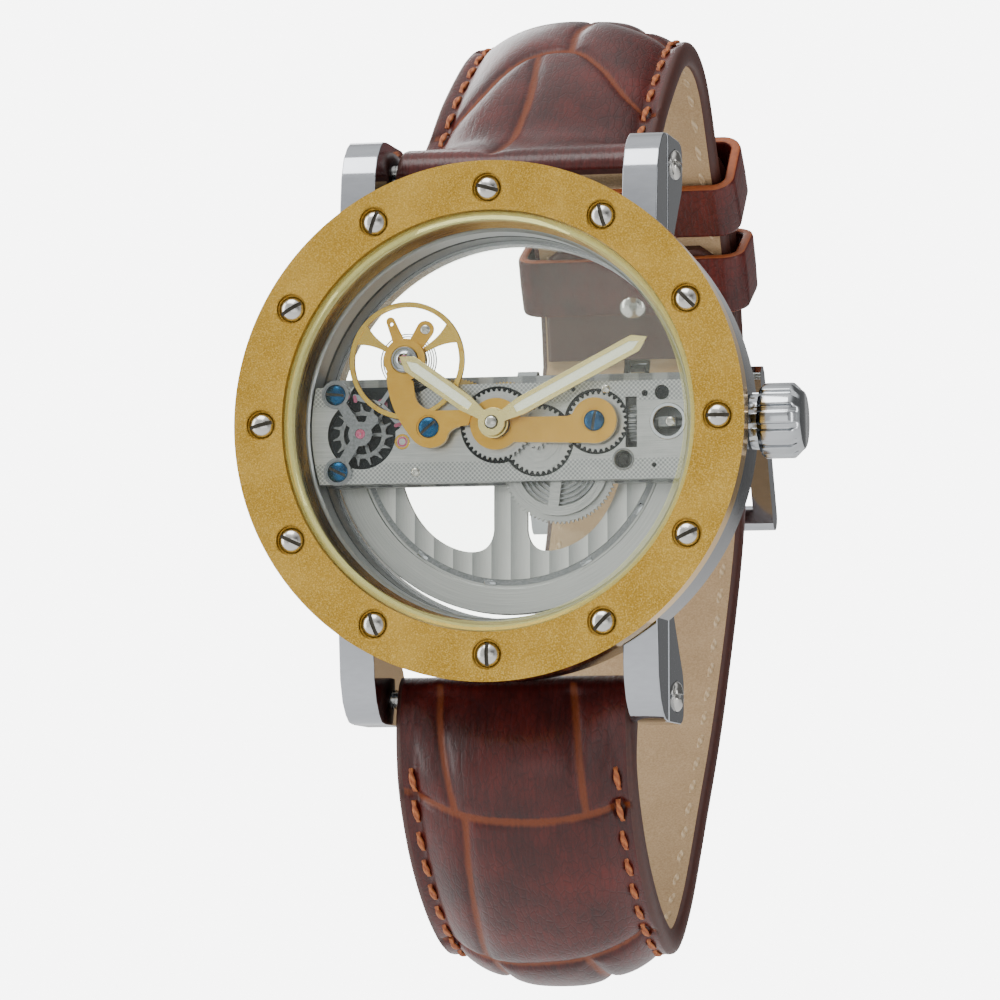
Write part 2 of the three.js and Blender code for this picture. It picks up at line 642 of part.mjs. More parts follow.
function mainPlate() {
  let body = barOutline(BAR_BOTTOM, BAR_TOP, BAR_FRONT, barBack);
  for (const place of footPillars) {
    body = body.add(disc(place, 0.7, barBack - 0.3, REAR_BRIDGE_FRONT - 0.05, 10));
  }
  const armFront = barBack - 0.25;
  body = body.add(arm([BALANCE_STAFF[0] + 0.4, BAR_TOP - 0.7], BALANCE_STAFF, 1.9, armFront, armFront + 0.8));
  const pocket = ESCAPE_DIAMETER / 2 + 0.3;
  const channel = arm(PALLET_ARBOR, BALANCE_STAFF, 2.6, BAR_FRONT - 1, escapeFloor);
  const slotReach = WINDING_PINION_DIAMETER / 2 + 0.55;
  const pinionSlot = block(
    [pinionLeft - 0.12, BAR_FRONT - 1, -slotReach],
    [pinionLeft + WINDING_PINION_LENGTH + 0.12, barBack + 1, slotReach],
  );
  body = cut(
    body,
    disc(ESCAPE_ARBOR, pocket, BAR_FRONT - 1, escapeFloor, 28),
    disc(PALLET_ARBOR, 2.6, BAR_FRONT - 1, escapeFloor, 20),
    disc(BALANCE_STAFF, 2.7, BAR_FRONT - 1, BAR_FRONT + 0.25, 20),
    channel,
    disc(CENTRE, hourRadius + 0.3, BAR_FRONT - 1, motionFloor, 28),
    disc(MINUTE_ARBOR, minuteWheelRadius + 0.3, BAR_FRONT - 1, motionFloor, 28),
    disc(SETTING_ARBOR, settingRadius + 0.3, BAR_FRONT - 1, motionFloor, 28),
    disc(CENTRE, 0.6, BAR_FRONT - 1, barBack + 1, 12),
    disc(ESCAPE_ARBOR, 0.5, BAR_FRONT - 1, barBack + 1, 8),
    disc(PALLET_ARBOR, 0.3, BAR_FRONT - 1, barBack + 1, 8),
    disc(cockFoot, screwHole, BAR_FRONT - 1, barBack + 1, 8),
    disc(BALANCE_STAFF, 0.2, BAR_FRONT - 1, armFront + 2, 8),
    disc(LEVER_SCREW_PLACE, 0.72, BAR_FRONT - 1, barBack + 1, 14),
    disc(JUMPER_SCREW_PLACE, 0.6, BAR_FRONT - 1, BAR_FRONT + 0.8, 14),
    disc(LEVER_RECESS_PLACE, 1.35, BAR_FRONT - 1, barBack + 1, 24),
    pinionSlot,
    crossBar(stemRadius + 0.25, pinionLeft - 2, movementRadius + 1, [STEM_DEPTH, 0]),
  );
  for (const place of escapeFeet) body = cut(body, disc(place, screwHole, BAR_FRONT - 1, BAR_FRONT + 1, 8));
  for (const place of [THIRD_ARBOR, FOURTH_ARBOR, MINUTE_ARBOR]) {
    body = cut(body, disc(place, PIVOT / 2 + RUNNING, BAR_FRONT - 1, barBack + 1, 8));
  }
  const studFront = MOTION_BRIDGE_FRONT + MOTION_BRIDGE_THICKNESS + 0.05;
  const stud = disc(SETTING_ARBOR, studRadius, studFront, motionFloor + 0.2, 16);
  const bush = cut(
    disc(cockFoot, 1.1, COCK_FRONT + COCK_THICKNESS + 0.05, BAR_FRONT + 0.2, 16),
    disc(cockFoot, screwHole, 0, barBack, 8),
  );
  const studBore = disc(SETTING_ARBOR, screwHole, 0, barBack + 1, 8);
  return cut(join(body, stud, bush), studBore);
}

function rearBridge() {
  const back = rearBack;
  let body = barOutline(BAR_BOTTOM, REAR_BRIDGE_TOP, REAR_BRIDGE_FRONT, back);
  body = body.add(cut(
    disc(CENTRE, 1.2, back - 0.2, back + 1.25, 20),
    disc(CENTRE, 0.4, back - 0.3, back + 2, 10),
  ));
  for (const place of [CENTRE, THIRD_ARBOR, FOURTH_ARBOR, ESCAPE_ARBOR, PALLET_ARBOR]) {
    body = cut(body, disc(place, PIVOT / 2 + RUNNING, REAR_BRIDGE_FRONT - 1, REAR_BRIDGE_FRONT + 0.5, 8));
  }
  return cut(body, disc(BARREL_ARBOR, 0.5, REAR_BRIDGE_FRONT - 1, back + 1, 12));
}

function balanceCock() {
  const back = COCK_FRONT + COCK_THICKNESS;
  const shape = new THREE.Shape();
  shape.moveTo(-8.95, 4.55);
  shape.bezierCurveTo(-9.1, 2.6, -8.3, 0.6, -6.7, -1.3);
  shape.bezierCurveTo(-5.7, -2.3, -4.1, -1.9, -3.9, -0.9);
  shape.quadraticCurveTo(-3.7, -0.2, -2.2, -0.1);
  shape.lineTo(-1.75, 1.15);
  shape.lineTo(-4.1, 1.15);
  shape.quadraticCurveTo(-6.3, 1.0, -6.6, 2.4);
  shape.lineTo(-6.75, 3.6);
  shape.closePath();
  const head = disc(BALANCE_STAFF, 1.72, COCK_FRONT, back, 28);
  return cut(
    join(plate(shape, COCK_FRONT, back, 7), head),
    disc(cockFoot, screwHole, 0, back + 1, 8),
    disc(BALANCE_STAFF, 1.15, 0, back + 1, 24),
  );
}

// The jewel block of the balance with its steel ring, held in the cock.
function shockSetting() {
  const back = COCK_FRONT + COCK_THICKNESS;
  const body = join(
    disc(BALANCE_STAFF, 1.1, COCK_FRONT - 0.1, back, 24),
    disc(BALANCE_STAFF, 0.5, COCK_FRONT - 0.22, back, 16),
  );
  return cut(body, disc(BALANCE_STAFF, 0.16, back - 0.35, back + 1, 10));
}

// Regulator and stud arms: one flat fork around the cock's head, behind it.
function regulator() {
  const front = COCK_FRONT + COCK_THICKNESS + 0.03;
  const back = front + 0.17;
  const tail = polar(3.45, degrees(112), BALANCE_STAFF);
  const stud = polar(2.95, degrees(57), BALANCE_STAFF);
  return cut(
    join(
      disc(BALANCE_STAFF, 1.6, front, back, 24),
      arm(polar(1.2, degrees(112), BALANCE_STAFF), tail, 0.85, front, back),
      arm(polar(1.2, degrees(57), BALANCE_STAFF), stud, 1.5, front, back),
    ),
    disc(BALANCE_STAFF, 0.6, front - 1, back + 1, 16),
    disc(stud, 0.25, front - 1, back + 1, 8),
  );
}

function motionBridge() {
  const front = MOTION_BRIDGE_FRONT;
  const back = front + MOTION_BRIDGE_THICKNESS;
  const shape = new THREE.Shape();
  shape.moveTo(1.6, 0.5);
  shape.lineTo(5.9, 0.5);
  shape.quadraticCurveTo(6.4, 0.55, 6.6, 1.1);
  shape.lineTo(7.2, 1.7);
  shape.lineTo(8.1, 1.9);
  shape.lineTo(8.1, -1.72);
  shape.lineTo(1.0, -1.5);
  shape.closePath();
  return cut(
    join(
      plate(shape, front, back),
      disc(SETTING_ARBOR, 1.85, front, back, 28),
      disc(CENTRE, 2.1, front, back, 28),
    ),
    disc(CENTRE, 1.2, front - 1, back + 1, 20),
    disc(SETTING_ARBOR, screwHole, front - 1, back + 1, 8),
  );
}

function escapeCock() {
  const back = BAR_FRONT - 0.04;
  const front = back - ESCAPE_COCK_THICKNESS;
  const parts = escapeFeet.flatMap((place) => [
    disc(place, 1.15, front, back, 20),
    arm(place, ESCAPE_ARBOR, 0.85, front, back),
  ]);
  const body = join(
    disc(ESCAPE_ARBOR, 1.0, front, back, 20),
    arm(ESCAPE_ARBOR, [-10.3, 0.6], 0.85, front, back),
    ...parts,
  );
  const holes = escapeFeet.map((place) => disc(place, screwHole, 0, back + 1, 8));
  return cut(body, disc(ESCAPE_ARBOR, PIVOT / 2 + RUNNING, 0, back + 1, 8), ...holes);
}

function blueScrews() {
  const shank = (screwHole - RUNNING) * 2;
  const places = [
    ['cock_screw', cockFoot, COCK_FRONT, 1.4, -40],
    ['bridge_screw', SETTING_ARBOR, MOTION_BRIDGE_FRONT, 1.2, -80],
    ['escape_cock_screw_upper', escapeFeet[0], BAR_FRONT - 0.04 - ESCAPE_COCK_THICKNESS, 0.9, 5],
    ['escape_cock_screw_lower', escapeFeet[1], BAR_FRONT - 0.04 - ESCAPE_COCK_THICKNESS, 0.9, 25],
  ];
  return places.map(([name, place, depth, length, turn]) => (
    piece(name, slottedScrew(BLUE_SCREW_HEAD, shank, length, turn), 'blueSteel', at(place, depth - 0.02))
  ));
}

// ---- Going train -----------------------------------------------------------------------------

const escapeWheelBack = escapeFront + WHEEL_THICKNESS;
const centreWheelFront = 6.8;
const thirdWheelFront = 7.2;
const fourthWheelFront = 6.35;
const barrelFront = barBack + 0.2;
const barrelBack = 6.65;
const rearPivotEnd = REAR_BRIDGE_FRONT + 0.4;
const [barrelPitch, centrePinionRadius] = pitchRadii(BARREL_ARBOR, CENTRE, BARREL_TEETH, CENTRE_PINION);
const [centrePitch, thirdPinionRadius] = pitchRadii(CENTRE, THIRD_ARBOR, CENTRE_TEETH, THIRD_PINION);
const [thirdPitch, fourthPinionRadius] = pitchRadii(THIRD_ARBOR, FOURTH_ARBOR, THIRD_TEETH, FOURTH_PINION);
const [fourthPitch, escapePinionRadius] = pitchRadii(FOURTH_ARBOR, ESCAPE_ARBOR, FOURTH_TEETH, ESCAPE_PINION);

// A wheel with spokes, its pinion and its arbor, about its own axis.
function wheelOnArbor(rim, pinion, arbor) {
  const shape = gearOutline(rim.teeth, rim.pitch, rim.facing, rim.onTooth, rim.sharp);
  if (rim.spokes) spokeWindows(shape, rim.hub, rim.pitch * 0.84, rim.spokes, 0.3);
  let body = plate(shape, rim.front, rim.front + WHEEL_THICKNESS, 1);
  if (pinion) {
    const leaves = gearOutline(pinion.teeth, pinion.pitch, pinion.facing, pinion.onTooth, false);
    body = body.add(plate(leaves, pinion.front, pinion.back));
  }
  return body.add(disc([0, 0], PIVOT / 2, arbor[0], arbor[1], 8));
}

function centreWheel() {
  return join(
    wheelOnArbor(
      { teeth: CENTRE_TEETH, pitch: centrePitch, facing: bearing(CENTRE, THIRD_ARBOR), onTooth: false,
        sharp: true, spokes: 5, hub: 1.3, front: centreWheelFront },
      { teeth: CENTRE_PINION, pitch: centrePinionRadius, facing: bearing(CENTRE, BARREL_ARBOR), onTooth: true,
        front: barBack + 0.15, back: centreWheelFront + 0.01 },
      [2.0, rearPivotEnd],
    ),
    disc(CENTRE, 0.3, 2.6, barBack + 0.2, 16),
  );
}

function cannonPinion() {
  const tube = join(
    plate(gearOutline(CANNON_TEETH, cannonRadius, bearing(CENTRE, MINUTE_ARBOR), true, false),
      minuteWheelFront, minuteWheelFront + 0.3),
    disc(CENTRE, 0.52, 1.98, minuteWheelFront + 0.3, 16),
  );
  return cut(tube, disc(CENTRE, 0.36, 2.3, barBack, 16), disc(CENTRE, PIVOT / 2 + 0.02, 0, barBack, 10));
}

function hourWheel() {
  const shape = gearOutline(HOUR_TEETH, hourRadius, bearing(CENTRE, MINUTE_ARBOR), false, true);
  const body = join(
    plate(shape, hourWheelFront, hourWheelFront + WHEEL_THICKNESS),
    disc(CENTRE, 1.05, MOTION_BRIDGE_FRONT - 0.35, hourWheelFront + 0.12, 16),
    disc(CENTRE, 0.85, 2.3, hourWheelFront + 0.05, 16),
  );
  return cut(body, disc(CENTRE, 0.62, 0, barBack, 16));
}

function minuteWheel() {
  const towardsCentre = bearing(MINUTE_ARBOR, CENTRE);
  return wheelOnArbor(
    { teeth: MINUTE_TEETH, pitch: minuteWheelRadius, facing: towardsCentre, onTooth: false,
      sharp: true, front: minuteWheelFront },
    { teeth: MINUTE_PINION, pitch: minutePinionRadius, facing: towardsCentre, onTooth: true,
      front: hourWheelFront, back: minuteWheelFront + 0.01 },
    [hourWheelFront - 0.1, motionFloor + 0.3],
  );
}

function settingWheel() {
  const towardsMinute = bearing(SETTING_ARBOR, MINUTE_ARBOR);
  const pitch = Math.PI * 2 / MINUTE_TEETH;
  const swing = bearing(MINUTE_ARBOR, SETTING_ARBOR) - bearing(MINUTE_ARBOR, CENTRE) - pitch / 2;
  const phase = swing / pitch - Math.round(swing / pitch);
  const facing = towardsMinute + (0.5 + phase) * Math.PI * 2 / SETTING_TEETH;
  const shape = gearOutline(SETTING_TEETH, settingRadius, facing, true, true);
  const wheel = plate(shape, minuteWheelFront, minuteWheelFront + WHEEL_THICKNESS);
  return cut(wheel, disc(CENTRE, studRadius + RUNNING, 0, barBack, 16));
}

function barrel() {
  const shape = gearOutline(BARREL_TEETH, barrelPitch, bearing(BARREL_ARBOR, CENTRE), false, true);
  const drum = join(
    plate(shape, barrelBack - 0.3, barrelBack),
    disc([0, 0], 4.15, barrelFront, barrelBack, 28),
  );
  const hollow = disc([0, 0], 3.85, barrelFront + 0.15, barrelBack - 0.15, 28);
  const lid = spokeWindows(new THREE.Shape().absarc(0, 0, 5, 0, Math.PI * 2), 1.1, 3.4, 3, 0.9, 0.4);
  const windows = lid.holes.map((hole) => plate(new THREE.Shape(hole.getPoints(5)),
    barrelFront - 1, barrelFront + 0.2));
  return cut(drum, hollow, disc([0, 0], 0.62, 0, 12, 14), ...windows);
}

function mainspring() {
  const front = barrelFront + 0.3;
  const back = barrelBack - 0.25;
  const turns = 4;
  const steps = turns * 12;
  const thickness = 0.18;
  const outer = [];
  const inner = [];
  for (let i = 0; i <= steps; i += 1) {
    const angle = i / steps * turns * Math.PI * 2;
    const radius = 0.52 + (3.6 - 0.52) * (i / steps);
    outer.push(polar(radius + thickness / 2, angle));
    inner.unshift(polar(radius - thickness / 2, angle));
  }
  const coil = plate(outline([...outer, ...inner]), front, back);
  return join(coil, disc([0, 0], 0.55, barrelFront - 0.05, REAR_BRIDGE_FRONT - 0.05, 12),
    disc([0, 0], 0.42, barBack + 0.02, rearBack - 0.1, 12));
}

function thirdWheel() {
  return wheelOnArbor(
    { teeth: THIRD_TEETH, pitch: thirdPitch, facing: bearing(THIRD_ARBOR, FOURTH_ARBOR), onTooth: false,
      sharp: true, spokes: 5, hub: 0.9, front: thirdWheelFront },
    { teeth: THIRD_PINION, pitch: thirdPinionRadius, facing: bearing(THIRD_ARBOR, CENTRE), onTooth: true,
      front: centreWheelFront - 0.15, back: thirdWheelFront + 0.01 },
    [barBack - 0.5, rearPivotEnd],
  );
}

function fourthWheel() {
  return wheelOnArbor(
    { teeth: FOURTH_TEETH, pitch: fourthPitch, facing: bearing(FOURTH_ARBOR, ESCAPE_ARBOR), onTooth: false,
      sharp: true, spokes: 5, hub: 0.9, front: fourthWheelFront },
    { teeth: FOURTH_PINION, pitch: fourthPinionRadius, facing: bearing(FOURTH_ARBOR, THIRD_ARBOR),
      onTooth: true, front: fourthWheelFront + 0.1, back: thirdWheelFront + 0.3 },
    [barBack - 0.5, rearPivotEnd],
  );
}

// Fifteen hooked teeth on a light rim.
function escapeWheel() {
  const tip = ESCAPE_DIAMETER / 2;
  const rim = tip * 0.76;
  const pitch = Math.PI * 2 / ESCAPE_TEETH;
  const points = [];
  for (let i = 0; i < ESCAPE_TEETH; i += 1) {
    const start = i * pitch;
    points.push(polar(rim, start), polar(rim, start + pitch * 0.5));
    points.push(polar(tip, start + pitch * 0.86), polar(tip, start + pitch * 0.95));
  }
  const shape = spokeWindows(outline(points), 0.62, rim * 0.82, 5, 0.28);
  const towardsFourth = bearing(ESCAPE_ARBOR, FOURTH_ARBOR);
  const leaves = gearOutline(ESCAPE_PINION, escapePinionRadius, towardsFourth, true, false);
  return join(
    plate(shape, escapeFront, escapeWheelBack, 1),
    plate(leaves, fourthWheelFront - 0.2, fourthWheelFront + 0.4),
    disc([0, 0], 0.2, escapeFront, fourthWheelFront, 10),
    disc([0, 0], PIVOT / 2, BAR_FRONT - 0.4, rearPivotEnd, 10),
  );
}

// Lever with two stones and a forked tail. The stones stand just outside the escape wheel's tips.
function palletFork() {
  const away = bearing(ESCAPE_ARBOR, PALLET_ARBOR);
  const reach = distance(ESCAPE_ARBOR, PALLET_ARBOR);
  const hub = reach - ESCAPE_DIAMETER / 2 - LEVER_HUB_CLEARANCE;
  const along = bearing(PALLET_ARBOR, BALANCE_STAFF);
  const front = escapeFront;
  const back = escapeWheelBack;
  const local = ([x, z]) => [x - PALLET_ARBOR[0], z - PALLET_ARBOR[1]];
  const stones = [-1, 1].map((side) => {
    const turn = away + side * degrees(44);
    const nearEnd = local(polar(ESCAPE_DIAMETER / 2 + 0.3, turn, ESCAPE_ARBOR));
    const farEnd = local(polar(reach * 1.12, turn, ESCAPE_ARBOR));
    return join(arm(nearEnd, farEnd, 0.3, front, back), arm(farEnd, [0, 0], 0.45, front, back));
  });
  const length = distance(PALLET_ARBOR, BALANCE_STAFF) - 1.35;
  const end = polar(length - 0.25, along);
  const tines = [-1, 1].map((side) => {
    const foot = polar(0.22 * side, along + Math.PI / 2, end);
    return arm(foot, polar(0.4, along + side * 0.25, foot), 0.16, front, back);
  });
  return join(
    arm([0, 0], end, 0.36, front, back),
    arm(polar(0.24, along + Math.PI / 2, end), polar(0.24, along - Math.PI / 2, end), 0.2, front, back),
    ...tines,
    ...stones,
    disc([0, 0], hub, front, back, 16),
    disc([0, 0], PIVOT / 2, BAR_FRONT - 0.2, rearPivotEnd, 10),
  );
}

function balanceWheel() {
  const outer = BALANCE_DIAMETER / 2;
  const middle = (rimFront + rimBack) / 2;
  const rim = cut(disc([0, 0], outer, rimFront, rimBack, 40), disc([0, 0], outer - 0.42, 0, 9, 40));
  const arms = [30, 150, 270].map((turn) => {
    const angle = degrees(turn);
    const narrow = 0.16;
    const flare = 0.85;
    const end = polar(outer - 0.3, angle);
    const across = (place, half) => [
      polar(half, angle + Math.PI / 2, place), polar(half, angle - Math.PI / 2, place),
    ];
    const [a, b] = across([0, 0], narrow);
    const [c, d] = across(polar(outer * 0.55, angle), narrow * 1.2);
    const [e, f] = across(end, flare);
    return plate(outline([a, c, e, f, d, b]), middle - 0.1, middle + 0.12);
  });
  const along = bearing(BALANCE_STAFF, PALLET_ARBOR);
  return join(
    rim, ...arms,
    disc([0, 0], 0.5, middle - 0.12, middle + 0.2, 14),
    disc([0, 0], 0.95, escapeFront - 0.2, escapeFront - 0.04, 16),
    disc(polar(0.75, along), 0.13, escapeFront - 0.1, escapeWheelBack, 8),
    disc([0, 0], 0.22, middle, barBack - 0.35, 12),
    disc([0, 0], 0.11, COCK_FRONT + COCK_THICKNESS - 0.2, barBack + 0.2, 10),
  );
}

function hairspring() {
  const front = rimBack + 0.08;
  const back = front + 0.16;
  const turns = 4;
  const steps = turns * 11;
  const points = [[], []];
  for (let i = 0; i <= steps; i += 1) {
    const angle = i / steps * turns * Math.PI * 2 + 0.6;
    const radius = 0.62 + 1.75 * i / steps;
    points[0].push(polar(radius + 0.05, angle));
    points[1].unshift(polar(radius - 0.05, angle));
  }
  const coil = plate(outline([...points[0], ...points[1]]), front, back);
  const collet = cut(disc([0, 0], 0.66, front, back, 12), disc([0, 0], 0.3, front - 1, back + 1, 10));
  return join(coil, collet);
}

// A flat baton hand with a round eye at the hub and a pointed tip, lying towards 12 o'clock.
function hand(length, front, eye, hole) {
  const half = HAND_WIDTH / 2;
  const back = front + HAND_THICKNESS;
  const shape = outline([
    [-half * 0.75, 0], [half * 0.75, 0], [half * 0.8, eye], [half, eye + 0.9], [half, length - 1.3],
    [half * 0.62, length - 0.25], [0, length], [-half * 0.62, length - 0.25], [-half, length - 1.3],
    [-half, eye + 0.9], [-half * 0.8, eye],
  ]);
  return cut(join(plate(shape, front, back), disc([0, 0], eye, front, back, 24)),
    disc([0, 0], hole, front - 1, back + 1, 16));
}

function turnedPiece(name, body, finish, turn) {
  const made = piece(name, body, finish);
  made.rotation.y = degrees(turn);
  return made;
}

const minuteHandFront = 1.68;
const hourHandFront = 2.3;

// The half-disc rotor with its heavy rim, on the rear bridge's post.
function rotor() {
  const webFront = rearBack + 0.35;
  const webBack = webFront + 0.5;
  const rimRear = webBack + 0.75;
  const half = (radius, inner) => {
    const shape = new THREE.Shape();
    shape.absarc(0, 0, radius, Math.PI, Math.PI * 2, false);
    shape.absarc(0, 0, inner, Math.PI * 2, Math.PI, true);
    return shape;
  };
  const rimInner = rotorRadius - ROTOR_RIM;
  const web = plate(half(rotorRadius, 0.5), webFront, webBack, 20);
  const rim = plate(half(rotorRadius, rimInner), webFront, rimRear, 20);
  const windows = [-1, 1].map((side) => {
    const shape = new THREE.Shape();
    shape.moveTo(side * 1.4, -2.2);
    shape.lineTo(side * 1.4, -8.2);
    shape.quadraticCurveTo(side * 1.6, -10.2, side * 3.7, -9.9);
    shape.bezierCurveTo(side * 6.4, -9.4, side * 8.8, -7.2, side * 9.5, -2.2);
    shape.closePath();
    return plate(shape, webFront - 1, webBack + 1, 7);
  });
  const hub = disc(CENTRE, 2.6, webFront, webBack + 0.15, 28);
  const groove = cut(disc(CENTRE, rimInner + 0.25, webFront - 1, webFront + 0.15, 40),
    disc(CENTRE, rimInner - 0.45, webFront - 2, webFront + 1, 40));
  return cut(join(cut(web, ...windows), rim, hub), disc(CENTRE, 1.2 + RUNNING, 0, 12, 20), groove);
}

function movementGroup() {
  return group(
    piece('main_plate', mainPlate(), 'steel'),
    piece('rear_bridge', rearBridge(), 'steel'),
    piece('balance_cock', balanceCock(), 'gold'),
    piece('shock_setting', shockSetting(), 'polished'),
    piece('regulator', regulator(), 'gold'),
    piece('motion_bridge', motionBridge(), 'gold'),
    piece('escape_cock', escapeCock(), 'polished'),
    ...blueScrews(),
    piece('barrel', barrel(), 'steel', at(BARREL_ARBOR)),
    piece('mainspring', mainspring(), 'darkSteel', at(BARREL_ARBOR)),
    piece('centre_wheel', centreWheel(), 'steel'),
    piece('cannon_pinion', cannonPinion(), 'steel'),
    piece('hour_wheel', hourWheel(), 'steel'),
    piece('minute_wheel', minuteWheel(), 'steel', at(MINUTE_ARBOR)),
    piece('setting_wheel', settingWheel(), 'steel', at(SETTING_ARBOR)),
    piece('third_wheel', thirdWheel(), 'gold', at(THIRD_ARBOR)),
    piece('fourth_wheel', fourthWheel(), 'gold', at(FOURTH_ARBOR)),
    piece('escape_wheel', escapeWheel(), 'polished', at(ESCAPE_ARBOR)),
    piece('pallet_fork', palletFork(), 'polished', at(PALLET_ARBOR)),
    piece('balance_wheel', balanceWheel(), 'gold', at(BALANCE_STAFF)),
    piece('hairspring', hairspring(), 'darkSteel', at(BALANCE_STAFF)),
    piece('rotor', rotor(), 'steel'),
    turnedPiece('minute_hand', hand(MINUTE_HAND_LENGTH, minuteHandFront, 1.1, 0.56),
      'paleGold', MINUTE_HAND_TURN),
    turnedPiece('hour_hand', hand(HOUR_HAND_LENGTH, hourHandFront, 1.25, 0.9),
      'paleGold', HOUR_HAND_TURN),
  );
}

// ---- Strap -----------------------------------------------------------------------------------

// A flat band that follows a side route; thickness and width are functions of the share along it.
function band(route, steps, thicknessAt, widthAt) {
  const curve = new THREE.SplineCurve(route.map(([depth, z]) => new THREE.Vector2(depth, z)));
  const stations = [];
  for (let i = 0; i <= steps; i += 1) {
    const share = i / steps;
    const point = curve.getPointAt(share);
    const along = curve.getTangentAt(share);
    const side = new THREE.Vector2(-along.y, along.x).multiplyScalar(thicknessAt(share) / 2);
    stations.push({ left: point.clone().add(side), right: point.clone().sub(side), width: widthAt(share) });
  }
  const shape = new THREE.Shape([
    ...stations.map((station) => station.left), ...stations.map((station) => station.right).reverse(),
  ]);
  const geometry = new THREE.ExtrudeGeometry(shape, { depth: 1, bevelEnabled: false });
  const position = geometry.attributes.position;
  const place = new THREE.Vector2();
  for (let i = 0; i < position.count; i += 1) {
    place.set(position.getX(i), position.getY(i));
    const near = stations.find((station) => (
      station.left.distanceTo(place) < 1e-3 || station.right.distanceTo(place) < 1e-3
    ));
    position.setXYZ(i, (position.getZ(i) - 0.5) * near.width, place.x, place.y);
  }
  return { body: solid(geometry), curve };
}

const smooth = (share, from, to) => THREE.MathUtils.smoothstep(share, from, to);
const blend = (a, b, share) => a + (b - a) * share;
const strapWidth = (share) => blend(STRAP_WIDTH, STRAP_END_WIDTH, smooth(share, 0.05, 0.9));

function buckleHalf() {
  const thickness = (share) => {
    const swell = blend(STRAP_ROOT_THICKNESS, STRAP_PADDED_THICKNESS, smooth(share, 0, 0.16));
    return blend(swell, STRAP_END_THICKNESS, smooth(share, 0.3, 0.66));
  };
  const { body, curve } = band(buckleHalfRoute, 18, thickness, strapWidth);
  const root = crossBar(STRAP_ROOT_THICKNESS / 2, -STRAP_WIDTH / 2, STRAP_WIDTH / 2, lugScrewPlace(1), 14);
  const end = curve.getPoint(1);
  const wrap = crossBar(BUCKLE_BAR / 2 + 1.15, -strapEndHalf, strapEndHalf, [end.x, end.y], 14);
  const notchHalf = 1.2;
  return cut(
    join(body, root, wrap),
    crossBar(shankHole, -STRAP_WIDTH, STRAP_WIDTH, lugScrewPlace(1)),
    crossBar(BUCKLE_BAR / 2 + 0.3, -STRAP_WIDTH, STRAP_WIDTH, [end.x, end.y]),
    block([-notchHalf, end.x - 4, end.y - 4], [notchHalf, end.x + 4, end.y + 2.6]),
  );
}

const buckleEnd = buckleHalfRoute[buckleHalfRoute.length - 1];
const tongueWidth = 1.4;

function tailHalf() {
  const thickness = (share) => {
    const swell = blend(STRAP_ROOT_THICKNESS, STRAP_PADDED_THICKNESS, smooth(share, 0, 0.1));
    return blend(swell, TAIL_THICKNESS, smooth(share, 0.2, 0.55));
  };
  const { body, curve } = band(tailHalfRoute, 26, thickness, strapWidth);
  const root = crossBar(STRAP_ROOT_THICKNESS / 2, -STRAP_WIDTH / 2, STRAP_WIDTH / 2, lugScrewPlace(-1), 14);
  let made = cut(join(body, root), crossBar(shankHole, -STRAP_WIDTH, STRAP_WIDTH, lugScrewPlace(-1)));
  const length = curve.getLength();
  const used = nearestShare(curve, buckleEnd[1] - 2);
  for (let i = 0; i < TAIL_HOLES; i += 1) {
    const share = used + (i - 3) * TAIL_HOLE_PITCH / length;
    const point = curve.getPointAt(share);
    const along = curve.getTangentAt(share);
    const hole = new THREE.CylinderGeometry(1, 1, TAIL_THICKNESS * 2, 8);
    hole.scale(tongueWidth / 2 + 0.35, 1, 1.7).rotateX(Math.atan2(-along.x, along.y));
    made = cut(made, solid(hole.translate(0, point.x, point.y)));
  }
  return made;
}

// The share along the rear of a route where it reaches a height.
function nearestShare(curve, height) {
  let best = 0.5;
  let miss = Infinity;
  for (let share = 0.5; share <= 0.9; share += 0.002) {
    const away = Math.abs(curve.getPointAt(share).y - height);
    if (away < miss) {
      miss = away;
      best = share;
    }
  }
  return best;
}

// A rigid leather loop around both layers of the strap, at [depth, z] and tilted with it.
function keeper(place, tilt) {
  const halfWidth = strapEndHalf + LEATHER_FIT + 0.2;
  const layers = STRAP_END_THICKNESS + TAIL_THICKNESS + 1.1;
  const inner = layers / 2 + LEATHER_FIT;
  const outerX = halfWidth + KEEPER_WALL;
  const outerY = inner + KEEPER_WALL;
  const shell = new THREE.BoxGeometry(outerX * 2, outerY * 2, KEEPER_LENGTH);
  const hollow = new THREE.BoxGeometry(halfWidth * 2, inner * 2, KEEPER_LENGTH * 2);
  const laid = (geometry) => solid(geometry.rotateX(degrees(tilt)).translate(0, place[0], place[1]));
  return cut(laid(shell), laid(hollow));
}

const frontBar = [buckleEnd[0] + 6.1, buckleEnd[1] - BUCKLE_DROP];

function buckleFrame() {
  const inner = strapEndHalf + 0.55;
  const outer = inner + BUCKLE_WALL;
  const along = bearing(buckleEnd, frontBar);
  const half = 1.15;
  const corner = (place, turn, radius = half) => polar(radius, along + degrees(turn), place);
  const points = [
    corner(buckleEnd, 90), corner(buckleEnd, 135), corner(buckleEnd, 180), corner(buckleEnd, 225),
    corner(buckleEnd, 270), corner(frontBar, 270), corner(frontBar, 315), corner(frontBar, 0),
    corner(frontBar, 45), corner(frontBar, 90),
  ];
  const barHole = (left) => crossBar(BUCKLE_BAR / 2 + 0.3, left - 1, left + 1, buckleEnd);
  return cut(
    join(
      sidePlate(points, -outer, -inner), sidePlate(points, inner, outer),
      crossBar(half, -outer, outer, frontBar, 20),
    ),
    barHole(-inner), barHole(inner),
  );
}

function buckleBar() {
  const reach = strapEndHalf + 0.55 + 0.9;
  return crossBar(BUCKLE_BAR / 2, -reach, reach, buckleEnd, 16);
}

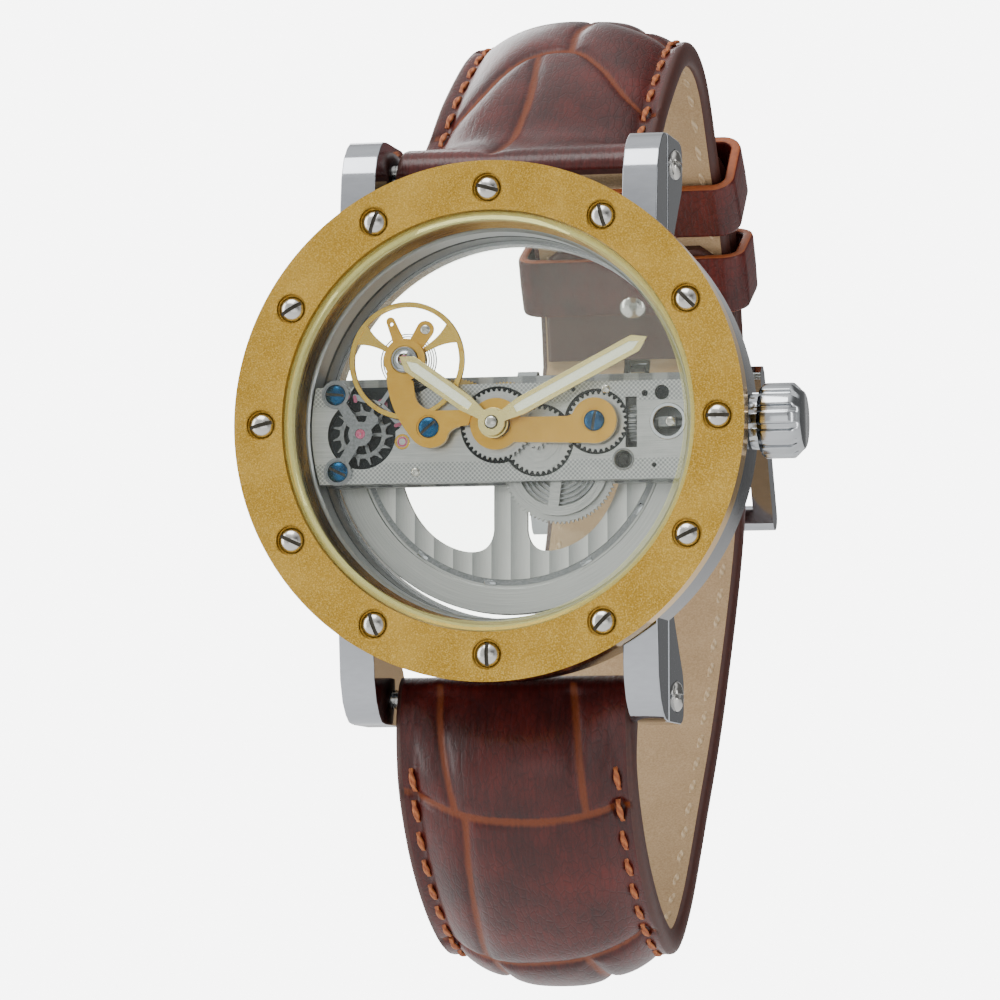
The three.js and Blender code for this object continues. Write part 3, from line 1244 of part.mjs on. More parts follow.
// The pin: an eye around the bar, a step out through the strap, and a blade that ends on the frame.
function buckleTongue() {
  const [depth, z] = buckleEnd;
  const [farDepth, farZ] = frontBar;
  const points = [
    [depth - 0.3, z - 1], [depth + 2.4, z - 2.3], [depth + 4.6, z - 2.7], [depth + 5.3, z - 3.6],
    [farDepth + 1.75, farZ - 1.4], [farDepth + 2.45, farZ - 1.5], [depth + 6.5, z - 2.6],
    [depth + 5.2, z - 1.4], [depth + 2.6, z - 1.1], [depth + 0.6, z + 1],
  ];
  return cut(
    join(
      sidePlate(points, -tongueWidth / 2, tongueWidth / 2),
      crossBar(BUCKLE_BAR / 2 + 0.9, -tongueWidth / 2, tongueWidth / 2, buckleEnd, 20),
    ),
    crossBar(BUCKLE_BAR / 2 + 0.3, -2, 2, buckleEnd),
  );
}

function strapGroup() {
  return group(
    piece('strap_buckle_half', buckleHalf(), 'leather'),
    piece('strap_tail_half', tailHalf(), 'leather'),
    piece('keeper_fixed', keeper(FIXED_KEEPER_PLACE, FIXED_KEEPER_TILT), 'leather'),
    piece('keeper_free', keeper(FREE_KEEPER_PLACE, FREE_KEEPER_TILT), 'leather'),
    piece('buckle_frame', buckleFrame(), 'polished'),
    piece('buckle_bar', buckleBar(), 'steel'),
    piece('buckle_tongue', buckleTongue(), 'polished'),
  );
}

// ---- The watch -------------------------------------------------------------------------------

const watch = group(caseGroup(), windingGroup(), movementGroup(), strapGroup());
watch.position.y = -CASE_THICKNESS;

export default group(watch);
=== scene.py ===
"""The finished look of a skeleton wristwatch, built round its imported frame.

Shapes are drawn in millimetres as (right, depth, up), where depth runs from the bezel's front
face towards the wrist, and are turned into the frame's metres as they become pieces.
"""
import json
import math

import bmesh
import bpy
import numpy as np
from mathutils import Matrix, Vector


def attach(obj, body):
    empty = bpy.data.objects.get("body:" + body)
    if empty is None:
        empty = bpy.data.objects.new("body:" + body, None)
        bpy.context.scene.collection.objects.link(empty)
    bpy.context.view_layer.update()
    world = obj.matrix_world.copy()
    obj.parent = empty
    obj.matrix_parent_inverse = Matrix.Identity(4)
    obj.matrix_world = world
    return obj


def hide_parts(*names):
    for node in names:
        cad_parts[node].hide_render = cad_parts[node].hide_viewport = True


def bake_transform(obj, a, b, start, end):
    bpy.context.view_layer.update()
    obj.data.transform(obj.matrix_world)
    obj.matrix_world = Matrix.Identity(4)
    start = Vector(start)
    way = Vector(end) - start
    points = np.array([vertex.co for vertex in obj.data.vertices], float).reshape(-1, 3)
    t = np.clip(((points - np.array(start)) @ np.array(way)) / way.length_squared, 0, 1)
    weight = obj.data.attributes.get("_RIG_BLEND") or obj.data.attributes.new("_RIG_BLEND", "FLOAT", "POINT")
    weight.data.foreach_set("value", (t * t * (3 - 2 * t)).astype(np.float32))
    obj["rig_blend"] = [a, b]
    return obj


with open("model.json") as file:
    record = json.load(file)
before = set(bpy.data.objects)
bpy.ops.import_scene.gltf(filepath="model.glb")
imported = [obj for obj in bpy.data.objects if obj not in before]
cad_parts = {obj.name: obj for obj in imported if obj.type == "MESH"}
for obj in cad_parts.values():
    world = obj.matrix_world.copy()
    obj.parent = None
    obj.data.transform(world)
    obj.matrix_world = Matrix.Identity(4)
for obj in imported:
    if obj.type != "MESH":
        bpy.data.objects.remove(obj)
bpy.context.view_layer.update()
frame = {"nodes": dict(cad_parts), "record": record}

MM = 0.001
TAU = math.tau
CASE_THICKNESS = 12.0


# ---- Finishes: how a material is written ---------------------------------------------------------


class Value:
    """A number that varies over a surface, for use in expressions."""

    def __init__(self, finish, socket):
        self.finish = finish
        self.socket = socket

    def math(self, operation, *others):
        inputs = {0: self}
        inputs.update({i + 1: other for i, other in enumerate(others)})
        return self.finish.value("ShaderNodeMath", {"operation": operation}, inputs)

    def __add__(self, other):
        return self.math("ADD", other)

    __radd__ = __add__

    def __mul__(self, other):
        return self.math("MULTIPLY", other)

    __rmul__ = __mul__

    def __sub__(self, other):
        return self.math("SUBTRACT", other)

    def __rsub__(self, other):
        return self * -1.0 + other

    def __truediv__(self, other):
        return self.math("DIVIDE", other)

    def __pow__(self, other):
        return self.math("POWER", other)

    def __gt__(self, other):
        return self.math("GREATER_THAN", other)

    def __lt__(self, other):
        return self.math("LESS_THAN", other)

    def __abs__(self):
        return self.math("ABSOLUTE")

    def sine(self):
        return self.math("SINE")

    def between(self, low, high):
        """0 below low, 1 above high, smooth between."""
        settings = {"interpolation_type": "SMOOTHSTEP"}
        inputs = {"Value": self, "From Min": low, "From Max": high}
        return self.finish.value("ShaderNodeMapRange", settings, inputs, "Result")


def tint(code):
    """A display colour such as 'b8923d' as linear light."""
    levels = [int(code[i : i + 2], 16) / 255 for i in (0, 2, 4)]
    return tuple([x / 12.92 if x < 0.04045 else ((x + 0.055) / 1.055) ** 2.4 for x in levels] + [1.0])


class Finish:
    """A material under construction."""

    def __init__(self, name, slot):
        self.material = bpy.data.materials.new(name)
        self.material.use_nodes = True
        self.tree = self.material.node_tree
        self.tree.nodes.clear()
        self.slot = slot
        self.sources = {}

    def node(self, kind, settings=None, inputs=None):
        made = self.tree.nodes.new(kind)
        for key, setting in (settings or {}).items():
            if key == "stops":
                ramp = made.color_ramp
                while len(ramp.elements) < len(setting):
                    ramp.elements.new(0.5)
                for element, (position, colour) in zip(ramp.elements, setting):
                    element.position = position
                    element.color = colour
            else:
                setattr(made, key, setting)
        for key, given in (inputs or {}).items():
            if isinstance(given, Value):
                given = given.socket
            if isinstance(given, bpy.types.NodeSocket):
                self.tree.links.new(given, made.inputs[key])
            else:
                made.inputs[key].default_value = given
        return made

    def value(self, kind, settings=None, inputs=None, output=0):
        return Value(self, self.node(kind, settings, inputs).outputs[output])

    def place(self):
        """The point in millimetres, measured from the piece's own centre."""
        if "place" not in self.sources:
            made = self.node("ShaderNodeAttribute", {"attribute_name": "place"})
            self.sources["place"] = made.outputs["Vector"]
        return self.sources["place"]

    def mark(self, name):
        """A number stored at each corner of the mesh."""
        if name not in self.sources:
            made = self.node("ShaderNodeAttribute", {"attribute_name": name})
            self.sources[name] = made.outputs["Fac"]
        return Value(self, self.sources[name])

    def parts(self, vector):
        made = self.node("ShaderNodeSeparateXYZ", None, {0: vector})
        return [Value(self, made.outputs[i]) for i in range(3)]

    def vector(self, x, y, z):
        return self.node("ShaderNodeCombineXYZ", None, {0: x, 1: y, 2: z}).outputs[0]

    def stretched(self, scale, vector=None):
        """The place, scaled unevenly."""
        inputs = {0: vector or self.place(), 1: scale}
        return self.node("ShaderNodeVectorMath", {"operation": "MULTIPLY"}, inputs).outputs[0]

    def grain(self, scale, detail=3.0, vector=None, rough=0.55):
        inputs = {"Vector": vector or self.place(), "Scale": scale, "Detail": detail, "Roughness": rough}
        return self.value("ShaderNodeTexNoise", None, inputs, "Fac")

    def cells(self, scale, feature="F1", output="Distance", vector=None):
        inputs = {"Vector": vector or self.place(), "Scale": scale}
        return self.value("ShaderNodeTexVoronoi", {"feature": feature}, inputs, output)

    def mix(self, share, low, high):
        """A colour between two colours."""
        made = self.node("ShaderNodeMix", {"data_type": "RGBA", "clamp_factor": True}, {"Factor": share})
        for socket, colour in ((made.inputs[6], low), (made.inputs[7], high)):
            if isinstance(colour, bpy.types.NodeSocket):
                self.tree.links.new(colour, socket)
            else:
                socket.default_value = colour
        return made.outputs[2]

    def bump(self, height, strength, distance, under=None):
        inputs = {"Height": height, "Strength": strength, "Distance": distance * MM}
        if under is not None:
            inputs["Normal"] = under
        return self.node("ShaderNodeBump", None, inputs).outputs[0]

    def rings(self):
        """Distance from the piece's own centre and angle round it, as seen from the dial."""
        x, _, z = self.parts(self.place())
        return (x * x + z * z).math("SQRT"), z.math("ARCTAN2", x)

    def surface(self, colour, roughness, metallic=0.0, normal=None, **more):
        inputs = {"Base Color": colour, "Roughness": roughness, "Metallic": metallic}
        if normal is not None:
            inputs["Normal"] = normal
        inputs.update({key.replace("_", " "): value for key, value in more.items()})
        made = self.node("ShaderNodeBsdfPrincipled", None, inputs)
        self.node("ShaderNodeOutputMaterial", None, {"Surface": made.outputs[0]})
        return self.material


FINISHES = {}


def finish(name, slot):
    """Registers a finish under its name; the function that follows writes it."""

    def keep(write):
        made = Finish(name, slot)
        write(made)
        FINISHES[name] = made
        return write

    return keep


def lighter(colour, share):
    return tuple(min(1.0, c * share) for c in colour[:3]) + (1.0,)


# ---- The finishes ---------------------------------------------------------------------------------


def polished(f, colour, rough=0.12, scratch=0.05, tone=0.06):
    """Bright metal with faint wiping marks."""
    wipe = f.grain(1.6, 4, f.stretched((0.5, 2.4, 1.3)))
    speck = f.grain(14.0, 2)
    base = f.mix(wipe, lighter(colour, 1 - tone * 2), lighter(colour, 1 + tone))
    roughness = rough + (wipe - 0.5) * rough * 0.5 + (speck > 0.72) * 0.05
    f.surface(base, roughness, 1.0, f.bump(wipe + speck * 0.3, scratch, 0.01))


@finish("frosted_gold", "frosted_gold")
def frosted_gold(f):
    """Sand-blasted gold: a fine grain with soft cloudy tone, and painted glints on its brightest flakes."""
    cloud = f.grain(0.22, 3)
    fine = f.grain(7.5, 5, rough=0.75)
    flake = f.cells(15.0, output="Color")
    painted_glint = flake.between(0.6, 0.85)
    ground = f.mix(fine.between(0.3, 0.7), tint("86651f"), tint("c39b40"))
    ground = f.mix(cloud.between(0.35, 0.75) * 0.35, ground, tint("d6b056"))
    # Painted glints: the brightest flakes are pushed towards pale gold in the colour.
    base = f.mix(painted_glint * 0.45, ground, tint("f0d077"))
    height = fine * 0.6 + flake * 0.6
    f.surface(base, 0.46 - painted_glint * 0.16 + (fine - 0.5) * 0.2, 1.0, f.bump(height, 0.4, 0.04))


@finish("bright_gold", "frosted_gold")
def bright_gold(f):
    polished(f, tint("d6a640"), 0.16)


@finish("crown_steel", "polished_steel")
def crown_steel(f):
    polished(f, tint("b9bcbf"), 0.14)


@finish("screw_steel", "polished_steel")
def screw_steel(f):
    polished(f, tint("c6c4bf"), 0.2, 0.12, 0.1)


@finish("slot_shadow", "polished_steel")
def slot_shadow(f):
    # Painted shade for the floor of a screw slot: a near-black colour, a little mottled.
    shadow_mottle = f.grain(6.0, 3)
    f.surface(f.mix(shadow_mottle, tint("2b2822"), tint("5a554b")), 0.45 + shadow_mottle * 0.2, 0.7)


@finish("lug_steel", "case_steel")
def lug_steel(f):
    polished(f, tint("aeb1b6"), 0.09)


@finish("flank_steel", "case_steel")
def flank_steel(f):
    """Dark polished flank with fine lines round the case."""
    _, depth, _ = f.parts(f.place())
    lines = f.grain(1.0, 3, f.vector(0.0, depth * 16.0, 0.0))
    wear = f.grain(0.9, 4)
    base = f.mix(wear * 0.7 + lines * 0.3, tint("37393c"), tint("5c5f64"))
    f.surface(base, 0.17 + (wear - 0.5) * 0.1, 1.0, f.bump(lines, 0.08, 0.01))


@finish("ring_wall", "case_steel")
def ring_wall(f):
    """Inside wall of the case: a paler brushed front half and a darker rear half."""
    _, depth, _ = f.parts(f.place())
    radius, angle = f.rings()
    lines = f.grain(1.0, 3, f.vector(angle * 2.0, depth * 22.0, radius * 6.0))
    rear = depth.between(6.3, 6.7)
    front = f.mix(lines, tint("74777b"), tint("b4b6b8"))
    back = f.mix(lines, tint("3a3d40"), tint("606367"))
    f.surface(f.mix(rear, front, back), 0.26 + lines * 0.14, 1.0, f.bump(lines, 0.2, 0.01))


@finish("back_steel", "case_steel")
def back_steel(f):
    """Lathe-turned case back."""
    radius, angle = f.rings()
    lines = f.grain(1.0, 3, f.vector(angle * 1.4, 0.0, radius * 20.0))
    f.surface(f.mix(lines, tint("a7a9ac"), tint("d3d4d6")), 0.2 + lines * 0.14, 1.0,
              f.bump(lines, 0.22, 0.01))


@finish("rehaut_gold", "rehaut_gold")
def rehaut_gold(f):
    """Inner flange: pale gold at the glass, brown-gold where it turns down to the movement."""
    _, depth, _ = f.parts(f.place())
    radius, angle = f.rings()
    cloud = f.grain(0.35, 3)
    lines = f.grain(1.0, 2, f.vector(angle * 3.0, depth * 14.0, 0.0))
    deep = f.mix(cloud, tint("7d5a22"), tint("b8924a"))
    base = f.mix(depth.between(2.2, 2.9), tint("ead9a0"), deep)
    f.surface(base, 0.2 + lines * 0.16, 1.0, f.bump(lines, 0.12, 0.01))


@finish("seal_cream", "gasket")
def seal_cream(f):
    """Pale glass seal, seen as a thin yellow line under the crystal."""
    fleck = f.grain(3.0, 3)
    f.surface(f.mix(fleck, tint("c9bd6c"), tint("e8df9c")), 0.5 + fleck * 0.1, 0.0)


@finish("black_rubber", "gasket")
def black_rubber(f):
    fleck = f.grain(8.0, 3)
    f.surface(f.mix(fleck, tint("141414"), tint("262626")), 0.7 + fleck * 0.15, 0.0, f.bump(fleck, 0.2, 0.02))


def glass(f, edge_tint, low, high, mirror=1.0):
    """Clear glass: what is behind shows through, and the surface shines at a low angle."""
    smear = f.grain(0.4, 3)
    shine = f.node("ShaderNodeBsdfPrincipled", None, {
        "Base Color": edge_tint, "Roughness": smear * 0.03 + 0.02, "Metallic": mirror})
    clear = f.node("ShaderNodeBsdfTransparent", None, {"Color": (0.97, 0.98, 0.965, 1.0)})
    facing = f.value("ShaderNodeLayerWeight", None, {"Blend": 0.25}, "Facing")
    share = facing ** 2.2 * (high - low) + low + smear * 0.01
    both = f.node("ShaderNodeMixShader", None, {0: share, 1: clear.outputs[0], 2: shine.outputs[0]})
    f.node("ShaderNodeOutputMaterial", None, {"Surface": both.outputs[0]})


@finish("crystal_clear", "crystal")
def crystal_clear(f):
    glass(f, tint("f3f7ee"), 0.015, 0.5)


@finish("crystal_edge", "crystal")
def crystal_edge(f):
    """The ground chamfer of the crystal, which gathers a pale green-gold light."""
    glass(f, tint("c9c77c"), 0.42, 0.85, 0.35)


@finish("bar_steel", "bar_steel")
def bar_steel(f):
    """Movement bar: fine crossed hatching on its upper and lower strips, plain brushing between."""
    x, depth, z = f.parts(f.place())
    brush = f.grain(1.0, 4, f.vector(x * 0.35, depth * 3.0, z * 13.0))
    rising = ((x + z) * 17.0).sine()
    falling = ((x - z) * 17.0).sine()
    hatch = (rising.between(0.1, 0.9) + falling.between(0.1, 0.9)) * 0.5
    strip = abs(z + 0.62).between(2.28, 2.34)
    lines = hatch * strip + brush * (1.0 - strip)
    dull = f.grain(0.7, 3)
    base = f.mix(lines * 0.75 + dull * 0.25, tint("85888a"), tint("dededc"))
    f.surface(base, 0.24 + brush * 0.16, 1.0, f.bump(lines, 0.35, 0.02))


@finish("bar_wall", "bar_steel")
def bar_wall(f):
    """Milled walls and pocket floors."""
    x, depth, z = f.parts(f.place())
    lines = f.grain(1.0, 3, f.vector(x * 5.0, depth * 12.0, z * 5.0))
    f.surface(f.mix(lines, tint("595c60"), tint("a5a7aa")), 0.28 + lines * 0.15, 1.0,
              f.bump(lines, 0.2, 0.01))


@finish("pocket_shade", "bar_steel")
def pocket_shade(f):
    """Painted shade: the plate's pocket floors, the recess under the escape wheel among them, made near black
    as if in shadow.
    """
    fleck = f.grain(4.0, 3)
    f.surface(f.mix(fleck, tint("1a1d20"), tint("3a3e43")), 0.4 + fleck * 0.2, 0.9, f.bump(fleck, 0.1, 0.01))


@finish("rear_steel", "bar_steel")
def rear_steel(f):
    """Rear bridge, brushed lengthwise with broad bands."""
    x, _, z = f.parts(f.place())
    brush = f.grain(1.0, 4, f.vector(x * 0.3, 0.0, z * 12.0))
    band = (x * 2.6).sine().between(-0.3, 0.3)
    f.surface(f.mix(brush * 0.6 + band * 0.35, tint("606367"), tint("bfc0c2")), 0.26 + brush * 0.14, 1.0,
              f.bump(brush, 0.25, 0.01))


@finish("rotor_rim", "bar_steel")
def rotor_rim(f):
    """Heavy rim, brushed round the axis."""
    radius, angle = f.rings()
    lines = f.grain(1.0, 4, f.vector(angle * 2.2, 0.0, radius * 16.0))
    f.surface(f.mix(lines, tint("909294"), tint("dededc")), 0.25 + lines * 0.18, 1.0,
              f.bump(lines, 0.35, 0.015))


@finish("rotor_web", "bar_steel")
def rotor_web(f):
    """Rotor web with broad upright stripes, each painted with shade from one side to the other."""
    x, _, z = f.parts(f.place())
    stripe = (x * 0.62 + 100.0).math("FRACT")
    brush = f.grain(1.0, 3, f.vector(x * 12.0, 0.0, z * 0.5))
    # Painted shade: each stripe's colour runs from dark to light across it.
    tone = stripe * 0.7 + brush * 0.3
    f.surface(f.mix(tone, tint("848688"), tint("e8e8e6")), 0.24 + brush * 0.16, 1.0,
              f.bump(stripe * 1.2 + brush * 0.2, 0.35, 0.03))


@finish("gilt_satin", "gilt")
def gilt_satin(f):
    """Satin gold top of a cock or bridge."""
    x, _, z = f.parts(f.place())
    brush = f.grain(1.0, 4, f.vector(x * 1.2, 0.0, z * 9.0))
    tone = f.grain(0.8, 2)
    f.surface(f.mix(brush * 0.5 + tone * 0.5, tint("bd8a2c"), tint("e6b957")), 0.3 + brush * 0.12, 1.0,
              f.bump(brush, 0.12, 0.01))


@finish("gilt_bright", "gilt")
def gilt_bright(f):
    polished(f, tint("e8bd5e"), 0.13)


@finish("balance_gold", "gilt")
def balance_gold(f):
    polished(f, tint("e3bf62"), 0.16)


@finish("blued_steel", "blued_steel")
def blued_steel(f):
    """Heat-blued screw head with a turned sheen."""
    radius, angle = f.rings()
    lines = f.grain(1.0, 3, f.vector(angle * 0.8, 0.0, radius * 18.0))
    f.surface(f.mix(lines, tint("082745"), tint("1a5f8e")), 0.2 + lines * 0.12, 0.9,
              f.bump(lines, 0.15, 0.01))


@finish("ruby", "gilt")
def ruby(f):
    fleck = f.grain(3.0, 2)
    f.surface(f.mix(fleck, tint("a0335e"), tint("d4638c")), 0.1 + fleck * 0.05, 0.0, None, Coat_Weight=1.0)


def grained_wheel(f, low, high, rough=0.26):
    """Wheel face with circular graining."""
    radius, angle = f.rings()
    lines = f.grain(1.0, 3, f.vector(angle * 1.6, 0.0, radius * 17.0))
    f.surface(f.mix(lines, low, high), rough + lines * 0.14, 1.0, f.bump(lines, 0.22, 0.01))


@finish("wheel_steel", "wheel_steel")
def wheel_steel(f):
    grained_wheel(f, tint("8a8c8e"), tint("dadad8"))


@finish("wheel_brass", "wheel_brass")
def wheel_brass(f):
    grained_wheel(f, tint("ad8a4b"), tint("e6cb8e"))


@finish("tooth_steel", "wheel_steel")
def tooth_steel(f):
    """Tooth flanks and wheel edges, darker than the faces."""
    fleck = f.grain(5.0, 3)
    f.surface(f.mix(fleck, tint("5c5e61"), tint("a6a8aa")), 0.3 + fleck * 0.15, 1.0)


@finish("spring_steel", "spring_steel")
def spring_steel(f):
    fleck = f.grain(2.0, 3)
    f.surface(f.mix(fleck, tint("55585d"), tint("b0b3b7")), 0.2 + fleck * 0.12, 1.0)


@finish("hand_gilt", "hand_gilt")
def hand_gilt(f):
    polished(f, tint("ebdb98"), 0.26)


@finish("lume", "hand_gilt")
def lume(f):
    """Luminous paint, faintly grainy and slightly domed."""
    fleck = f.grain(7.0, 4, rough=0.7)
    f.surface(f.mix(fleck.between(0.3, 0.7), tint("e9eecf"), tint("fafbec")), 0.62 + fleck * 0.15, 0.0,
              f.bump(fleck, 0.3, 0.02))


def leather_skin(f, dark, warm, groove_tint):
    """Glossy grained leather: pores, fine creases darkened with painted shade, and a warm stain that stays in
    the grooves.
    """
    groove = f.mark("groove")
    x, _, along = f.parts(f.place())
    cloud = f.grain(0.16, 4)
    streak = f.grain(1.0, 4, f.vector(x * 2.4, 0.0, along * 0.35))
    root = 1.0 - along.between(6.0, 17.0)
    pore = f.cells(3.2, "F1")
    crease = f.cells(1.5, "DISTANCE_TO_EDGE", vector=f.vector(x * 1.5, 0.0, along * 0.55))
    fine = f.grain(5.0, 4, rough=0.65)
    ground = f.mix(cloud.between(0.3, 0.72) * 0.7 + streak.between(0.35, 0.7) * 0.3, dark, warm)
    # Painted shade: the ground colour is darkened along the fine creases.
    ground = f.mix((0.09 - crease).between(0.0, 0.09) * 0.35, ground, lighter(dark, 0.55))
    stain = (groove * 1.1 + (streak - 0.5) * 1.1 * groove).between(0.3, 0.95)
    base = f.mix(stain * 0.85, ground, groove_tint)
    height = crease.between(0.0, 0.12) * 0.4 + fine * 0.3 + pore * 0.25 + streak * (0.35 + root * 1.6)
    rough = 0.24 + streak * 0.12 + fine * 0.1 + groove * 0.2
    f.surface(base, rough, 0.0, f.bump(height, 0.3, 0.12), Coat_Weight=0.22, Coat_Roughness=0.2,
              Specular_IOR_Level=0.3)


@finish("leather", "leather")
def leather(f):
    leather_skin(f, tint("2e0907"), tint("58150e"), tint("70330f"))


@finish("leather_edge", "leather")
def leather_edge(f):
    """Painted cut edge."""
    fleck = f.grain(2.5, 4)
    f.surface(f.mix(fleck, tint("2c120d"), tint("4d2318")), 0.42 + fleck * 0.15, 0.0,
              f.bump(fleck, 0.3, 0.05))


@finish("keeper_edge", "leather")
def keeper_edge(f):
    fleck = f.grain(2.5, 4)
    f.surface(f.mix(fleck, tint("7a3a1c"), tint("a85a2a")), 0.45 + fleck * 0.15, 0.0,
              f.bump(fleck, 0.3, 0.05))


@finish("lining", "leather")
def lining(f):
    """Beige nubuck-like lining."""
    nap = f.grain(6.0, 5, rough=0.7)
    cloud = f.grain(0.3, 3)
    base = f.mix(nap.between(0.3, 0.7) * 0.5 + cloud * 0.5, tint("8f734f"), tint("bfa37f"))
    f.surface(base, 0.75 + nap * 0.15, 0.0, f.bump(nap, 0.35, 0.06))


def waxed_thread(f, dark, light):
    """Two-ply waxed thread."""
    x, _, along = f.parts(f.place())
    ply = (along * 9.0 + x * 9.0).sine()
    fuzz = f.grain(12.0, 3)
    f.surface(f.mix(ply * 0.3 + fuzz * 0.7, dark, light), 0.5 + fuzz * 0.2, 0.0,
              f.bump(ply + fuzz, 0.4, 0.04))


@finish("thread", "leather")
def thread(f):
    waxed_thread(f, tint("8a4522"), tint("bf7440"))


@finish("thread_pale", "leather")
def thread_pale(f):
    waxed_thread(f, tint("a98d68"), tint("d8c3a0"))


# ---- Shapes ---------------------------------------------------------------------------------------


def mesh_of(points, faces):
    made = bpy.data.meshes.new("shape")
    made.from_pydata([tuple(map(float, p)) for p in points], [], [tuple(map(int, f)) for f in faces])
    return made


def edited(mesh, *steps):
    """Runs bmesh steps on a mesh and leaves its faces pointing out."""
    work = bmesh.new()
    work.from_mesh(mesh)
    for step in steps:
        step(work)
    bmesh.ops.recalc_face_normals(work, faces=work.faces[:])
    work.to_mesh(mesh)
    work.free()
    return mesh


def welded(work):
    bmesh.ops.remove_doubles(work, verts=work.verts[:], dist=1e-4)
    bmesh.ops.dissolve_degenerate(work, dist=1e-5, edges=work.edges[:])


def skin(rings, wrap=False, caps=True):
    """A surface over rings of equal counts; each ring is closed."""
    rings = [np.asarray(ring, float) for ring in rings]
    count, width = len(rings), len(rings[0])
    faces = []
    for i in range(count if wrap else count - 1):
        for j in range(width):
            a, b = i * width, ((i + 1) % count) * width
            k = (j + 1) % width
            faces.append((a + j, a + k, b + k, b + j))
    if caps and not wrap:
        faces.append(tuple(range(width)))
        faces.append(tuple(range((count - 1) * width, count * width))[::-1])
    return edited(mesh_of(np.vstack(rings), faces), welded)


def polar(radius, degrees, centre=(0, 0)):
    angle = math.radians(degrees)
    return (centre[0] + radius * math.cos(angle), centre[1] + radius * math.sin(angle))


def bearing(start, end):
    return math.degrees(math.atan2(end[1] - start[1], end[0] - start[0]))


def turned(profile, centre=(0, 0), sides=96):
    """A body turned about an axis along the depth, from (radius, depth) points."""
    rings = []
    for i in range(sides):
        x, z = math.cos(TAU * i / sides), math.sin(TAU * i / sides)
        rings.append([(centre[0] + r * x, depth, centre[1] + r * z) for r, depth in profile])
    return skin(rings, wrap=True)


def turned_across(profile, place, sides=48):
    """A body turned about an axis along X at (depth, up), from (x, radius) points."""
    rings = []
    for i in range(sides):
        a, b = math.cos(TAU * i / sides), math.sin(TAU * i / sides)
        rings.append([(x, place[0] + r * a, place[1] + r * b) for x, r in profile])
    return skin(rings, wrap=True)


def plate(outline, front, back):
    """A flat outline of (x, z) points, seen from the dial."""
    rings = [[(x, depth, z) for x, z in outline] for depth in (front, back)]
    return skin(rings)


def side_plate(outline, left, right):
    """A flat outline of (depth, z) points, seen from the side."""
    return skin([[(x, depth, z) for depth, z in outline] for x in (left, right)])


def disc(centre, radius, front, back, sides=40):
    return plate([polar(radius, 360 * i / sides, centre) for i in range(sides)], front, back)


def cross_bar(radius, left, right, place, sides=28):
    return turned_across([(left, 0), (left, radius), (right, radius), (right, 0)], place, sides)


def block(low, high):
    (a, b, c), (d, e, f) = low, high
    return side_plate([(b, c), (e, c), (e, f), (b, f)], a, d)


def arc(centre, radius, start, end, steps=12):
    return [polar(radius, start + (end - start) * i / steps, centre) for i in range(steps + 1)]


def arm(start, end, width, front, back, end_width=None):
    """A straight arm with round ends."""
    along = bearing(start, end)
    tip = (end_width or width) / 2
    outline = arc(end, tip, along - 90, along + 90) + arc(start, width / 2, along + 90, along + 270)
    return plate(outline, front, back)


def curve(*controls, steps=12):
    """Points of a Bezier curve, without its last point."""
    controls = np.array(controls, float)
    degree = len(controls) - 1
    made = []
    for i in range(steps):
        t = i / steps
        weights = [math.comb(degree, k) * t**k * (1 - t) ** (degree - k) for k in range(degree + 1)]
        made.append(tuple(np.dot(weights, controls)))
    return made


def applied(mesh, *settings):
    """The mesh after modifiers, given as (kind, settings) pairs."""
    holder = bpy.data.objects.new("bench", mesh)
    bpy.context.scene.collection.objects.link(holder)
    for kind, values in settings:
        modifier = holder.modifiers.new(kind, kind)
        for key, value in values.items():
            setattr(modifier, key, value)
    made = bpy.data.meshes.new_from_object(holder.evaluated_get(bpy.context.evaluated_depsgraph_get()))
    bpy.data.objects.remove(holder)
    return made


def combined(operation, body, tools):
    helpers = []
    steps = []
    for tool in tools:
        helper = bpy.data.objects.new("tool", tool)
        bpy.context.scene.collection.objects.link(helper)
        helpers.append(helper)
        steps.append(("BOOLEAN", {"operation": operation, "solver": "MANIFOLD", "object": helper}))
    made = applied(body, *steps)
    for helper in helpers:
        bpy.data.objects.remove(helper)
    return made


def cut(body, *tools):
    return combined("DIFFERENCE", body, tools)


def join(body, *others):
    return combined("UNION", body, others)


def common(body, *others):
    return combined("INTERSECT", body, others)


def together(*meshes):
    """Several closed bodies kept as one mesh."""
    work = bmesh.new()
    for mesh in meshes:
        work.from_mesh(mesh)
    made = bpy.data.meshes.new("shape")
    work.to_mesh(made)
    work.free()
    return made


def softened(mesh, width, segments=2, angle=35):
    """The mesh with its sharp edges rounded over."""
    flat = math.radians(0.6)
    edited(mesh, welded, lambda work: bmesh.ops.dissolve_limit(
        work, angle_limit=flat, verts=work.verts[:], edges=work.edges[:]))
    settings = {"width": width, "segments": segments, "limit_method": "ANGLE",
                "angle_limit": math.radians(angle), "use_clamp_overlap": True}
    return applied(mesh, ("BEVEL", settings))


def toothed(teeth, pitch_radius, facing, centre, front, back, on_tooth=True):
    """A toothed disc with narrowed round tips. A tooth points along facing, or else a gap does."""
    pitch = 360 / teeth
    size = pitch_radius * 2 / teeth
    tip, root = pitch_radius + size * 0.72, pitch_radius - size * 0.95
    start = facing + (0 if on_tooth else pitch / 2)
    tooth = [(root, -0.3), (pitch_radius, -0.2), (tip, -0.07), (tip, 0.07), (pitch_radius, 0.2), (root, 0.3)]
    points = []
    for i in range(teeth):
        middle = start + i * pitch
        points += [polar(radius, middle + pitch * share, centre) for radius, share in tooth]
    return plate(points, front, back)


